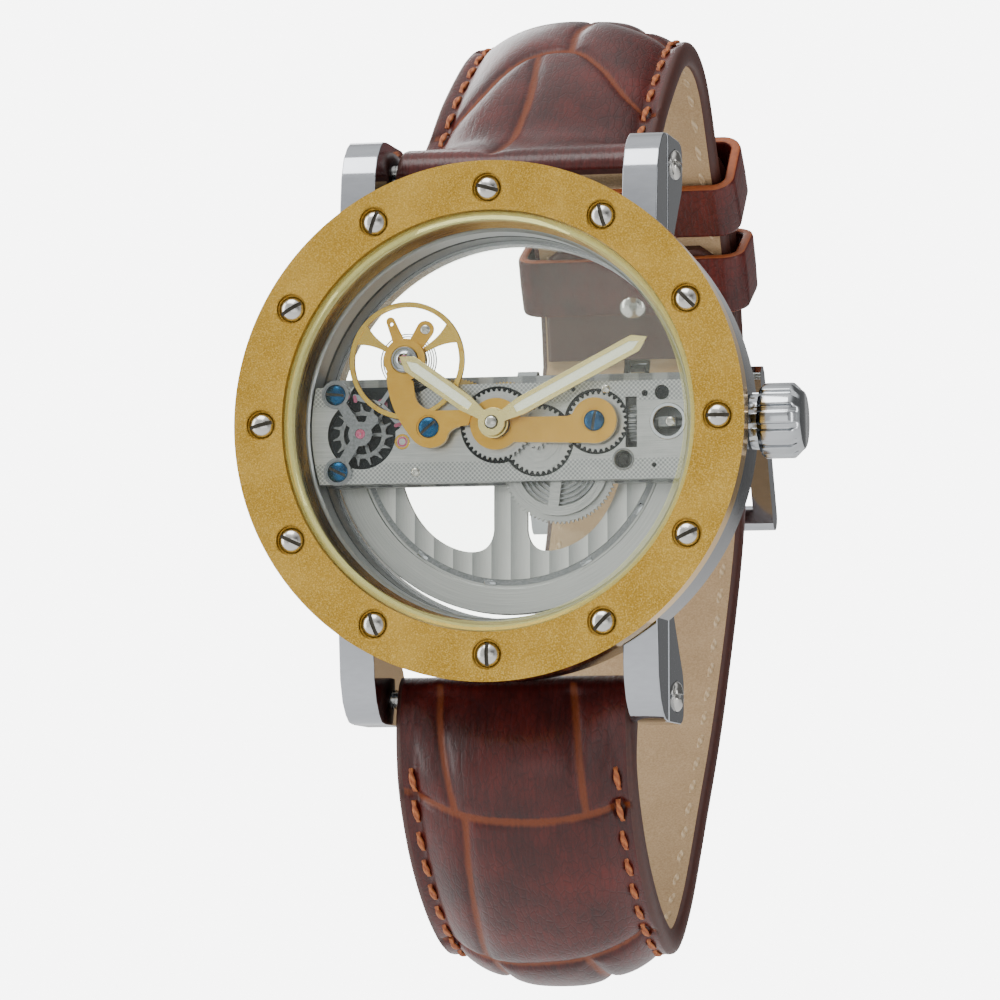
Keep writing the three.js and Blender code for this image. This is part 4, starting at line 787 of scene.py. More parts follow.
def windows(inner, outer, count, spoke, front, back, turn=0.0):
    """The gaps between a wheel's spokes, as bodies to cut away."""
    gaps = []
    for i in range(count):
        middle = turn + (i + 0.5) * 360 / count
        out = 180 / count - math.degrees(spoke / outer / 2)
        into = 180 / count - math.degrees(spoke / inner / 2)
        outline = arc((0, 0), outer, middle - out, middle + out, 16)
        outline += arc((0, 0), inner, middle + into, middle - into, 8)
        gaps.append(plate(outline, front, back))
    return gaps


def moved(mesh, x=0.0, depth=0.0, z=0.0):
    mesh.transform(Matrix.Translation((x, depth, z)))
    return mesh


def spun(mesh, degrees):
    """Turned clockwise as seen from the dial."""
    mesh.transform(Matrix.Rotation(math.radians(degrees), 4, "Y"))
    return mesh


# ---- Pieces ---------------------------------------------------------------------------------------

body_of_node = {node: body for body, nodes in frame["record"]["behaviour"]["bodies"].items()
                for node in nodes}


def piece(name, mesh, finishes, replaces=(), body=None, centre=(0, 0), choose=None, angle=35, marks=None,
          flex=None):
    """A finished piece from a mesh in millimetres, on the body of the node that it stands for."""
    finishes = [finishes] if isinstance(finishes, str) else finishes
    replaces = [replaces] if isinstance(replaces, str) else list(replaces)
    count = len(mesh.vertices)
    at = np.empty(count * 3)
    mesh.vertices.foreach_get("co", at)
    at = at.reshape(-1, 3)
    if "place" not in mesh.attributes:
        own = mesh.attributes.new("place", "FLOAT_VECTOR", "POINT")
        own.data.foreach_set("vector", (at - (centre[0], 0, centre[1])).ravel())
    for mark, numbers in (marks or {}).items():
        mesh.attributes.new(mark, "FLOAT", "POINT").data.foreach_set("value", numbers)
    mesh.vertices.foreach_set("co", ((at - (0, CASE_THICKNESS, 0)) * MM).ravel())
    kept = np.empty(len(mesh.polygons), np.int32)
    mesh.polygons.foreach_get("material_index", kept)
    mesh.materials.clear()
    for one in finishes:
        mesh.materials.append(FINISHES[one].material)
    if choose is None:
        mesh.polygons.foreach_set("material_index", np.minimum(kept, len(finishes) - 1))
    else:
        faces = len(mesh.polygons)
        middles, normals = np.empty(faces * 3), np.empty(faces * 3)
        mesh.polygons.foreach_get("center", middles)
        mesh.polygons.foreach_get("normal", normals)
        middles = middles.reshape(-1, 3) / MM + (0, CASE_THICKNESS, 0)
        picked = choose(middles, normals.reshape(-1, 3)).astype(np.int32)
        mesh.polygons.foreach_set("material_index", picked)
    mesh.name = name
    mesh.update()
    mesh.shade_smooth()
    mesh.set_sharp_from_angle(angle=math.radians(angle))
    made = bpy.data.objects.new(name, mesh)
    bpy.context.scene.collection.objects.link(made)
    weighted = made.modifiers.new("even_light", "WEIGHTED_NORMAL")
    weighted.keep_sharp = True
    if flex:
        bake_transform(made, *flex["bodies"], start=flex["start"], end=flex["end"])
    else:
        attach(made, body or body_of_node[replaces[0]])
    if replaces:
        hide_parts(*replaces)
    return made


def from_node(node, finishes, width=0.03, **more):
    """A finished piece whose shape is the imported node's own, with its edges eased."""
    mesh = frame["nodes"][node].data.copy()
    mesh.transform(Matrix.Scale(1 / MM, 4))
    mesh.transform(Matrix.Translation((0, CASE_THICKNESS, 0)))
    mesh.materials.clear()
    for attribute in [a.name for a in mesh.attributes if a.name in ("custom_normal", "sharp_edge")]:
        mesh.attributes.remove(mesh.attributes[attribute])
    mesh = softened(mesh, width) if width else edited(mesh, welded)
    return piece(node + "_finished", mesh, finishes, node, **more)


def facing_edge(middles, normals):
    """1 on the eased edges and walls, 0 on the faces towards and away from the dial."""
    return (np.abs(normals[:, 1]) < 0.93).astype(int)


# ---- Case -----------------------------------------------------------------------------------------

CASE_RADIUS = 21.0
BEZEL_INNER = 17.0
BEZEL_BACK = 1.9
SCREW_CIRCLE = 18.8
SCREW_SLOT_TURNS = [15, 75, 45, 0, -25, -45, 90, 70, 25, -15, -30, -70]
BODY_RADIUS = 20.6
RING_OUTER = 17.05
RING_INNER = 15.7
RING_FRONT = 3.8
BACK_RING_FRONT = 9.7
WINDOW_RADIUS = 15.4
LUG_INNER, LUG_OUTER = 10.3, 13.2
LUG_SCREW = (11.5, 21.8)
STEM_DEPTH = 6.0
CROWN_FACE = 21.35
CROWN_RADIUS = 3.05
CROWN_LENGTH = 3.5


def domed_screw(head, height, shank, length, turn, slot=0.15, slot_depth=0.6):
    """A slotted screw along the depth, its head's underside at depth 0."""
    dome = [(head * math.sin(math.radians(a)), -height * math.cos(math.radians(a)) ** 1.15)
            for a in range(0, 90, 9)]
    profile = dome + [(head, -height * 0.08), (head, 0.0), (shank, 0.0), (shank, length), (0.0, length)]
    half = head * slot
    groove = spun(block((-head * 1.3, -height * 2, -half), (head * 1.3, -height * (1 - slot_depth), half)),
                  turn)
    return softened(cut(turned(profile, sides=56), groove), head * 0.03, 2, 40)


def bezel():
    outline = [polar(CASE_RADIUS, 360 * i / 192) for i in range(192)]
    ring = cut(plate(outline, 0.0, BEZEL_BACK), disc((0, 0), BEZEL_INNER, -1, 3, 192))
    tools = []
    for i in range(12):
        place = polar(SCREW_CIRCLE, 90 - 30 * i)
        seat = turned([(0, -1), (1.33, -1), (1.33, -0.02), (1.19, 0.14), (1.19, 0.6), (0.6, 0.6), (0.6, 3),
                       (0, 3)],
                      place, 48)
        tools.append(seat)
    ring = softened(cut(ring, *tools), 0.13, 3, 40)

    def choose(middles, normals):
        radius = np.hypot(middles[:, 0], middles[:, 2])
        rim = (np.abs(normals[:, 1]) < 0.97) & ((radius > CASE_RADIUS - 0.5) | (radius < BEZEL_INNER + 0.2))
        return rim.astype(int)

    piece("bezel_frosted", ring, ["frosted_gold", "bright_gold"], "bezel", choose=choose)
    for i, turn in enumerate(SCREW_SLOT_TURNS):
        node = f"bezel_screw_{i + 1:02d}"
        place = polar(SCREW_CIRCLE, 90 - 30 * i)
        screw = moved(domed_screw(1.05, 0.62, 0.55, 1.2, turn), place[0], 0.55, place[1])
        middle = 0.55 - 0.62 * 0.4

        def floor(middles, normals):
            return ((np.abs(middles[:, 1] - middle) < 0.02) & (normals[:, 1] < -0.9)).astype(int)

        piece(node + "_turned", screw, ["screw_steel", "slot_shadow"], node, centre=place, choose=floor)


def crystals():
    radius = BEZEL_INNER - 0.1
    front = turned([(0, -0.05), (radius - 0.75, -0.05), (radius - 0.68, -0.04), (radius - 0.06, 0.33),
                    (radius, 0.4), (radius, 1.35), (0, 1.35)], sides=160)

    def chamfer(middles, normals):
        return (np.hypot(middles[:, 0], middles[:, 2]) > radius - 0.72).astype(int)

    piece("crystal_ground", front, ["crystal_clear", "crystal_edge"], "front_crystal", choose=chamfer,
          angle=20)
    back_radius = WINDOW_RADIUS - 0.1
    back = turned([(0, 10.4), (back_radius, 10.4), (back_radius, 11.8), (back_radius - 0.2, 12.0), (0, 12.0)],
                  sides=160)
    piece("back_crystal_ground", back, ["crystal_clear"], "back_crystal", angle=20)
    seal = turned([(radius - 0.5, 1.42), (radius, 1.42), (radius, 1.9), (radius - 0.5, 1.9)], sides=128)
    piece("crystal_seal", seal, "seal_cream", "crystal_gasket")


def rings():
    flange = [(RING_OUTER - 0.35, 2.05), (RING_OUTER, 2.05), (RING_OUTER, 3.75), (RING_INNER + 0.3, 3.75),
              (RING_INNER + 0.28, 3.66), (RING_OUTER - 0.55, 2.45), (RING_OUTER - 0.42, 2.3),
              (RING_OUTER - 0.42, 2.2)]
    piece("rehaut_band", turned(flange, sides=160), "rehaut_gold", "rehaut_ring")
    wall = [(RING_INNER + 0.15, RING_FRONT), (RING_OUTER, RING_FRONT), (RING_OUTER, 9.6), (RING_INNER, 9.6),
            (RING_INNER, 7.15), (RING_INNER + 0.12, 7.05), (RING_INNER + 0.12, 6.6), (RING_INNER, 6.5),
            (RING_INNER, RING_FRONT + 0.15)]
    ring = cut(turned(wall, sides=160), cross_bar(0.65, RING_INNER - 2, RING_OUTER + 2, (STEM_DEPTH, 0)))
    piece("movement_ring_turned", ring, "ring_wall", "movement_ring")
    outer = BODY_RADIUS - 1.1
    profile = [(WINDOW_RADIUS, 9.7), (outer, 9.7), (outer - 0.04, 10.3), (outer - 0.2, 10.9),
               (outer - 0.55, 11.4),
               (outer - 1.1, 11.72), (outer - 1.5, 11.8), (outer - 2.05, 11.8), (outer - 2.1, 11.7),
               (outer - 2.25, 11.7), (outer - 2.3, 11.8), (WINDOW_RADIUS + 0.25, 11.8), (WINDOW_RADIUS, 11.6)]
    notches = []
    for i in range(6):
        notches.append(disc(polar(outer - 1.0, 30 + 60 * i), 0.62, 11.3, 13, 32))
    back = softened(cut(turned(profile, sides=160), *notches), 0.05, 2, 40)
    piece("case_back_turned", back, "back_steel", "case_back_ring")


def lug(side, end):
    """One lug with broad polished bevels and a shallow groove down its outer side."""
    left = LUG_INNER if side > 0 else -LUG_OUTER
    outline = [(3.4, 14.0), (4.2, 20.5), (5.0, 22.3), (6.0, 23.3), (7.0, 23.85), (8.2, 24.0), (13.2, 24.0),
               (14.0, 23.8), (14.5, 23.3), (14.6, 22.6), (14.6, 20.6), (14.2, 19.7), (12.9, 18.2),
               (9.55, 14.0)]
    body = side_plate([(depth, z * end) for depth, z in outline], left, left + LUG_OUTER - LUG_INNER)
    groove_x = LUG_OUTER * side
    groove = block((groove_x - 0.22, 8.1, min(15.5 * end, 26 * end)),
                   (groove_x + 0.22, 8.55, max(15.5 * end, 26 * end)))
    bore = [cross_bar(0.81, -LUG_OUTER + 1, LUG_OUTER + 1, (LUG_SCREW[0], LUG_SCREW[1] * end))]
    if side > 0:
        bore.append(cross_bar(1.31, LUG_OUTER - 0.5, LUG_OUTER + 1, (LUG_SCREW[0], LUG_SCREW[1] * end), 40))
    body = cut(softened(cut(body, groove), 0.34, 4, 40), *bore)
    return body


def case_body():
    front, back = BEZEL_BACK + 0.15, BACK_RING_FRONT - 0.15
    bore = 17.15
    profile = [(bore, front), (BODY_RADIUS - 0.3, front), (BODY_RADIUS - 0.08, front + 0.1),
               (BODY_RADIUS, front + 0.3),
               (BODY_RADIUS, back - 1.2), (BODY_RADIUS - 0.08, back - 0.85), (BODY_RADIUS - 0.4, back - 0.35),
               (BODY_RADIUS - 0.8, back), (bore, back)]
    collar = turned_across([(18.6, 0), (18.6, 2.15), (20.9, 2.15), (21.1, 1.95), (21.1, 0)],
                           (STEM_DEPTH, 0), 64)
    body = join(turned(profile, sides=192), collar)
    body = cut(body, disc((0, 0), bore, 0, 15, 192), cross_bar(0.65, 0, 24, (STEM_DEPTH, 0)))
    piece("case_body", body, "flank_steel", "case_middle")
    for side, sign in (("left", -1), ("right", 1)):
        for end, way in (("12", 1), ("6", -1)):
            solid = cut(lug(sign, way), disc((0, 0), BODY_RADIUS - 0.6, 0, 16, 128))
            piece(f"lug_{end}_{side}", solid, "lug_steel", "case_middle", centre=(11.7 * sign, 20 * way))


def lug_screws():
    for end, sign in (("12", 1), ("6", -1)):
        place = (LUG_SCREW[0], LUG_SCREW[1] * sign)
        shank = cross_bar(0.75, -LUG_OUTER + 1.1, LUG_OUTER - 0.4, place, 32)
        dome = [(LUG_OUTER - 0.45, 0), (LUG_OUTER - 0.45, 1.25), (LUG_OUTER + 0.02, 1.25),
                (LUG_OUTER + 0.2, 1.17),
                (LUG_OUTER + 0.38, 0.95), (LUG_OUTER + 0.5, 0.6), (LUG_OUTER + 0.55, 0)]
        slot = block((LUG_OUTER + 0.12, place[0] - 2, place[1] - 0.17),
                     (LUG_OUTER + 2, place[0] + 2, place[1] + 0.17))
        solid = softened(cut(join(shank, turned_across(dome, place, 48)), slot), 0.04, 2, 40)
        piece(f"lug_bar_screw_{end}", solid, "screw_steel", f"lug_screw_{end}", centre=(0, place[1]))
        cap = turned_across([(-LUG_OUTER + 0.62, 0), (-LUG_OUTER + 0.62, 0.72), (-LUG_OUTER + 1.08, 0.78),
                             (-LUG_OUTER + 1.08, 0)], place, 32)
        piece(f"lug_bar_end_{end}", cap, "screw_steel", body="case", centre=(0, place[1]))


def crown():
    """Fluted crown: deep grooves with rounded ribs, a bevelled cap and a fluted collar behind."""
    flutes, start, end = 12, CROWN_FACE, CROWN_FACE + CROWN_LENGTH
    around = 240

    def ring(x, radius, depth):
        points = []
        for i in range(around):
            angle = TAU * i / around
            share = (i * flutes / around + 0.28) % 1.0
            wave = min(max((abs(share - 0.78) - 0.13) / 0.09, 0.0), 1.0)
            groove = (1 - wave * wave * (3 - 2 * wave)) * depth
            r = radius - groove
            points.append((x, STEM_DEPTH + r * math.sin(angle), r * math.cos(angle)))
        return points

    deep = 0.3
    stations = [(start, 2.5, 0.0), (start + 0.02, 2.72, 0.06), (start + 0.3, CROWN_RADIUS - 0.04, deep),
                (start + 0.45, CROWN_RADIUS, deep), (end - 0.95, CROWN_RADIUS, deep),
                (end - 0.82, CROWN_RADIUS - 0.03, deep),
                (end - 0.6, CROWN_RADIUS - 0.22, deep * 0.7), (end - 0.36, CROWN_RADIUS - 0.46, 0.05),
                (end - 0.3, CROWN_RADIUS - 0.55, 0.0), (end - 0.06, CROWN_RADIUS - 0.74, 0.0),
                (end, CROWN_RADIUS - 0.86, 0.0), (end, 0.02, 0.0)]
    body = skin([ring(*station) for station in stations])
    socket = cross_bar(2.45, start - 1, start + 1.2, (STEM_DEPTH, 0), 64)
    piece("crown_fluted", cut(body, socket), "crown_steel", "crown", centre=(start + 1.7, 0), angle=30)
    collar = [ring(x, r, d) for x, r, d in
              [(20.55, 2.1, 0.0), (20.6, 2.28, 0.05), (20.75, 2.3, 0.12), (21.25, 2.3, 0.12),
               (21.33, 2.24, 0.06), (21.34, 2.1, 0.0)]]
    collar = cut(skin(collar), cross_bar(1.0, 20, 22, (STEM_DEPTH, 0), 40))
    piece("crown_collar", collar, "crown_steel", body="case", centre=(21, 0), angle=30)
    from_node("crown_gasket", "black_rubber", 0.02)
    from_node("winding_stem", "tooth_steel", 0.02)
    teeth = 18
    outline = []
    for i in range(teeth):
        pitch = 360 / teeth
        outline += [polar(1.25, (i - 0.26) * pitch), polar(1.5, (i - 0.12) * pitch),
                    polar(1.5, (i + 0.12) * pitch), polar(1.25, (i + 0.26) * pitch)]
    pinion = side_plate([(STEM_DEPTH + a, b) for a, b in outline], 10.63, 11.33)
    pinion = softened(cut(pinion, cross_bar(0.42, 9, 12, (STEM_DEPTH, 0))), 0.03, 1, 40)
    piece("winding_pinion_cut", pinion, "tooth_steel", "winding_pinion", centre=(10.98, 0))


bezel()
crystals()
rings()
case_body()
lug_screws()
crown()


# ---- Movement -------------------------------------------------------------------------------------

CENTRE = (0.0, 0.0)
FOURTH_ARBOR = (-7.7, -1.0)
LEVER_PLACE = (14.0, 0.0)
LEVER_SCREW_PLACE = (14.15, 0.0)
DARK_SCREW_PLACE = (10.33, -3.0)
TRAIN_JEWEL_PLACE = (-8.0, -1.2)
MINUTE_ARBOR = (3.3, -1.3)
SETTING_ARBOR = (8.125, 0.1)
BARREL_ARBOR = (4.66, -3.18)
ESCAPE_ARBOR = (-11.4, -0.54)
PALLET_ARBOR = (-9.9, 1.9)
BALANCE_STAFF = (-7.5, 5.35)
COCK_FOOT = (-5.5, -0.2)
ESCAPE_FEET = ((-13.5, 2.7), (-13.3, -3.6))
MOVEMENT_RADIUS = 15.6
BAR_LOW, BAR_HIGH = -4.6, 3.35
BAR_FRONT, BAR_BACK = 4.2, 5.4
POCKET_FLOOR, MOTION_FLOOR = 5.0, 4.8
COCK_FRONT, COCK_BACK = 2.85, 3.35
MOTION_FRONT, MOTION_BACK = 3.2, 3.7
ESCAPE_COCK_FRONT, ESCAPE_COCK_BACK = 3.66, 4.16
SCREW_HOLE = 0.485
HOUR_RADIUS, MINUTE_RADIUS, SETTING_RADIUS, CANNON_RADIUS = 2.837, 2.660, 2.364, 0.887
MINUTE_PINION_RADIUS = 0.709
BARREL_RADIUS = 4.701
PIVOT = 0.12


def flat_part(name, node, solid, holes, finishes=("gilt_satin", "gilt_bright"), ease=0.12, centre=CENTRE):
    """A flat part with polished bevels all round."""
    made = softened(cut(solid, *holes) if holes else solid, ease, 3, 30)
    return piece(name, made, list(finishes), node, centre=centre, choose=facing_edge, angle=30)


def loose_part(name, mesh, finishes, centre=CENTRE, body="case", **more):
    return piece(name, mesh, finishes, body=body, centre=centre, **more)


def tube(centre, outer, inner, front, back, sides=56, lip=0.05):
    profile = [(inner, front + lip), (inner + lip, front), (outer - lip, front), (outer, front + lip),
               (outer, back), (inner, back)]
    return turned(profile, centre, sides)


def jewel(name, centre, radius, front, back, body="case"):
    """A ruby bearing with its oil sink."""
    profile = [(0.07, front + 0.14), (radius * 0.62, front + 0.05), (radius * 0.75, front),
               (radius * 0.96, front + 0.02), (radius, front + 0.06), (radius, back), (0.07, back)]
    loose_part(name, turned(profile, centre, 40), "ruby", centre, body)


def main_plate():
    reach = math.degrees(math.asin(BAR_HIGH / MOVEMENT_RADIUS))
    low = math.degrees(math.asin(BAR_LOW / MOVEMENT_RADIUS))
    outline = arc(CENTRE, MOVEMENT_RADIUS, low, reach, 24)
    outline += arc(CENTRE, MOVEMENT_RADIUS, 180 - reach, 180 - low, 24)
    body = plate(outline, BAR_FRONT, BAR_BACK)
    above = BAR_FRONT - 1
    tools = [
        disc(ESCAPE_ARBOR, 2.85, above, POCKET_FLOOR, 72),
        disc(PALLET_ARBOR, 2.6, above, POCKET_FLOOR, 64),
        arm(PALLET_ARBOR, BALANCE_STAFF, 2.6, above, POCKET_FLOOR),
        disc(BALANCE_STAFF, 2.7, above, 4.45, 72),
        disc(CENTRE, HOUR_RADIUS + 0.3, above, MOTION_FLOOR, 80),
        disc(MINUTE_ARBOR, MINUTE_RADIUS + 0.3, above, MOTION_FLOOR, 80),
        disc(SETTING_ARBOR, SETTING_RADIUS + 0.3, above, MOTION_FLOOR, 72),
        disc((13.5, 2.35), 0.6, above, 5.0, 32),
        disc(LEVER_PLACE, 1.35, above, 6, 56),
        disc(DARK_SCREW_PLACE, 0.72, above, 6, 40),
        block((10.51, above, -2.05), (11.45, 6, 2.05)),
        cross_bar(0.7, 9, 17, (STEM_DEPTH, 0)),
        disc((12.1, 2.3), 0.26, above, 4.9, 20),
        disc((12.85, -3.5), 0.2, above, 4.7, 20),
        disc((6.2, 2.75), 0.2, above, 4.7, 20),
        disc((-4.7, 2.6), 0.22, above, 4.7, 20),
    ]
    body = cut(body, *tools)
    body = softened(body, 0.07, 2, 40)

    # Pocket floors get the near-black painted-shade finish; walls get the milled finish.
    def choose(middles, normals):
        floor = (normals[:, 1] < -0.9) & (middles[:, 1] > BAR_FRONT + 0.12)
        wall = np.abs(normals[:, 1]) < 0.9
        return np.where(floor, 2, np.where(wall, 1, 0))

    piece("bridge_bar", body, ["bar_steel", "bar_wall", "pocket_shade"], "main_plate", choose=choose, angle=30)
    for i, place in enumerate([(-13.5, 2.7), (-13.3, -3.6), (13.3, -3.6), (13.3, 2.6)]):
        post = turned([(0, BAR_BACK + 0.02), (0.7, BAR_BACK + 0.02), (0.7, 7.5), (0, 7.5)], place, 32)
        loose_part(f"bar_pillar_{i + 1}", post, "bar_wall", place)
    reach_arm = arm((-7.1, 2.65), BALANCE_STAFF, 1.9, 5.42, 5.95)
    loose_part("balance_rest", softened(reach_arm, 0.07, 2), ["bar_wall"], BALANCE_STAFF)
    stud = turned([(0.49, 3.76), (0.72, 3.76), (0.75, 3.8), (0.75, MOTION_FLOOR), (0.49, MOTION_FLOOR)],
                  SETTING_ARBOR, 40)
    loose_part("setting_stud", stud, "bar_wall", SETTING_ARBOR)
    bush = turned([(0.49, 3.4), (1.06, 3.4), (1.1, 3.44), (1.1, BAR_FRONT - 0.02),
                   (0.49, BAR_FRONT - 0.02)], COCK_FOOT, 40)
    loose_part("cock_bush", bush, "bar_wall", COCK_FOOT)
    ring = tube(LEVER_PLACE, 1.5, 1.18, BAR_FRONT - 0.09, BAR_FRONT + 0.5)
    loose_part("lever_ring", ring, "lug_steel", LEVER_PLACE)
    lever = softened(block((13.1, 4.5, -0.42), (14.55, 5.2, 0.42)), 0.09, 2)
    loose_part("setting_lever", lever, "tooth_steel", LEVER_PLACE)
    loose_part("lever_screw", moved(domed_screw(0.42, 0.16, 0.2, 0.3, 30, 0.14), 14.15, 4.48, 0.0),
               "screw_steel", LEVER_SCREW_PLACE)
    loose_part("dark_screw", moved(domed_screw(0.5, 0.18, 0.3, 0.7, 55), 10.33, 4.45, -3.0), "black_rubber",
               DARK_SCREW_PLACE)
    loose_part("dark_screw_ring", tube(DARK_SCREW_PLACE, 0.9, 0.7, BAR_FRONT - 0.05, BAR_FRONT + 0.3),
               "tooth_steel", DARK_SCREW_PLACE)
    jewel("jewel_pallet", PALLET_ARBOR, 0.5, POCKET_FLOOR - 0.12, POCKET_FLOOR + 0.2)
    jewel("jewel_train", TRAIN_JEWEL_PLACE, 0.42, BAR_FRONT - 0.04, BAR_FRONT + 0.3)
    loose_part("jewel_train_ring", tube(TRAIN_JEWEL_PLACE, 0.66, 0.42, BAR_FRONT - 0.03, BAR_FRONT + 0.2),
               "gilt_bright", TRAIN_JEWEL_PLACE)
    for i, place in enumerate([(-3.2, 2.55), (8.9, 2.7), (-6.9, -3.7)]):
        screw = moved(domed_screw(0.36, 0.12, 0.2, 0.3, 20 + 50 * i, 0.16), place[0], BAR_FRONT - 0.01,
                      place[1])
        loose_part(f"bar_small_screw_{i + 1}", screw, "screw_steel", place)


def cock_and_bridges():
    shape = curve((-8.95, 4.55), (-9.1, 2.6), (-8.3, 0.6), (-6.7, -1.3), steps=20)
    shape += curve((-6.7, -1.3), (-5.7, -2.3), (-4.1, -1.9), (-3.9, -0.9), steps=16)
    shape += curve((-3.9, -0.9), (-3.7, -0.2), (-2.2, -0.1), steps=10)
    shape += [(-2.2, -0.1), (-1.75, 1.15)]
    shape += curve((-4.1, 1.15), (-6.3, 1.0), (-6.6, 2.4), steps=14)
    shape += [(-6.6, 2.4), (-6.75, 3.6)]
    solid = join(plate(shape, COCK_FRONT, COCK_BACK), disc(BALANCE_STAFF, 1.72, COCK_FRONT, COCK_BACK, 72))
    sink = turned([(0, 1), (1.0, 1), (1.0, COCK_FRONT + 0.16), (SCREW_HOLE, COCK_FRONT + 0.16),
                   (SCREW_HOLE, 6), (0, 6)],
                  COCK_FOOT, 48)
    flat_part("balance_cock_cut", "balance_cock", solid, [sink, disc(BALANCE_STAFF, 1.15, 0, 9, 64)],
              ease=0.13, centre=BALANCE_STAFF)
    profile = [(0.34, 2.78), (0.5, 2.64), (0.56, 2.66), (0.74, 2.78), (0.86, 2.78), (0.92, 2.7),
               (1.04, 2.7), (1.1, 2.78), (1.1, 3.35), (0.34, 3.35)]
    piece("shock_ring", turned(profile, BALANCE_STAFF, 64), "lug_steel", "shock_setting",
          centre=BALANCE_STAFF)
    jewel("jewel_balance", BALANCE_STAFF, 0.36, 2.74, 3.2)
    front, back = 3.38, 3.55
    tail = polar(3.45, 112, BALANCE_STAFF)
    holder = polar(2.95, 57, BALANCE_STAFF)
    solid = join(disc(BALANCE_STAFF, 1.6, front, back, 64),
                 arm(polar(1.2, 112, BALANCE_STAFF), tail, 1.0, front, back, 0.7),
                 arm(polar(1.2, 57, BALANCE_STAFF), holder, 1.2, front, back, 1.45))
    dot = disc(polar(3.2, 112, BALANCE_STAFF), 0.14, 0, 9, 20)
    flat_part("regulator_cut", "regulator", solid,
              [disc(BALANCE_STAFF, 0.6, 0, 9, 40), disc(holder, 0.25, 0, 9, 24), dot], ease=0.04,
              centre=BALANCE_STAFF)
    stud_screw = moved(domed_screw(0.42, 0.14, 0.22, 0.25, 35), holder[0], front - 0.01, holder[1])
    loose_part("stud_screw", stud_screw, "screw_steel", holder)
    shape = [(1.6, 0.5), (5.9, 0.5)] + curve((5.9, 0.5), (6.4, 0.55), (6.6, 1.1), steps=8) + [
        (6.6, 1.1), (7.2, 1.7), (8.1, 1.9), (8.1, -1.72), (1.0, -1.5)]
    solid = join(plate(shape, MOTION_FRONT, MOTION_BACK),
                 disc(SETTING_ARBOR, 1.85, MOTION_FRONT, MOTION_BACK, 72),
                 disc(CENTRE, 2.1, MOTION_FRONT, MOTION_BACK, 72))
    sink = turned([(0, 1), (1.0, 1), (1.0, MOTION_FRONT + 0.16), (SCREW_HOLE, MOTION_FRONT + 0.16),
                   (SCREW_HOLE, 6), (0, 6)], SETTING_ARBOR, 48)
    flat_part("motion_bridge_cut", "motion_bridge", solid, [disc(CENTRE, 1.2, 0, 9, 48), sink], ease=0.13,
              centre=SETTING_ARBOR)
    front, back = ESCAPE_COCK_FRONT, ESCAPE_COCK_BACK
    solid = join(disc(ESCAPE_ARBOR, 1.0, front, back, 48), arm(ESCAPE_ARBOR, (-10.3, 0.6), 0.85, front, back),
                 *[disc(place, 1.15, front, back, 48) for place in ESCAPE_FEET],
                 *[arm(place, ESCAPE_ARBOR, 0.85, front, back) for place in ESCAPE_FEET])
    sinks = [turned([(0, 1), (0.95, 1), (0.95, front + 0.12), (SCREW_HOLE, front + 0.12), (SCREW_HOLE, 6),
                     (0, 6)],
                    place, 40) for place in ESCAPE_FEET]
    flat_part("escape_cock_cut", "escape_cock", solid, [disc(ESCAPE_ARBOR, 0.42, 0, 9, 32), *sinks],
              ("bar_wall", "lug_steel"), 0.1, ESCAPE_ARBOR)
    jewel("jewel_escape", ESCAPE_ARBOR, 0.4, front + 0.02, back - 0.04)
    for node, place, depth, turn in (("cock_screw", COCK_FOOT, 2.83, -40),
                                     ("bridge_screw", SETTING_ARBOR, 3.18, -80),
                                     ("escape_cock_screw_upper", ESCAPE_FEET[0], 3.64, 5),
                                     ("escape_cock_screw_lower", ESCAPE_FEET[1], 3.64, 25)):
        screw = domed_screw(0.85, 0.3, 0.43, 0.85, turn, 0.14)
        floor = depth + 0.12 - 0.3 * 0.4

        def slot(middles, normals, floor=floor):
            return ((np.abs(middles[:, 1] - floor) < 0.02) & (normals[:, 1] < -0.9)).astype(int)

        piece(node + "_blued", moved(screw, place[0], depth + 0.12, place[1]),
              ["blued_steel", "slot_shadow"], node, centre=place, choose=slot)


def wheel(name, node, teeth, pitch_radius, facing, on_tooth, front, back, centre, holes=(), extra=(),
          finish_pair=None):
    """A toothed wheel in the frame's place, its teeth finished apart from its face."""
    blank = toothed(teeth, pitch_radius, facing, centre, front, back, on_tooth)
    if extra:
        blank = join(blank, *extra)
    solid = softened(cut(blank, *holes) if holes else blank, 0.018, 1, 40)
    root = pitch_radius - pitch_radius * 2.1 / teeth

    def choose(middles, normals):
        away = np.hypot(middles[:, 0] - centre[0], middles[:, 2] - centre[1])
        return ((away > root) | (np.abs(normals[:, 1]) < 0.9)).astype(int)

    return piece(name, solid, list(finish_pair or ("wheel_steel", "tooth_steel")), node, centre=centre,
                 choose=choose)


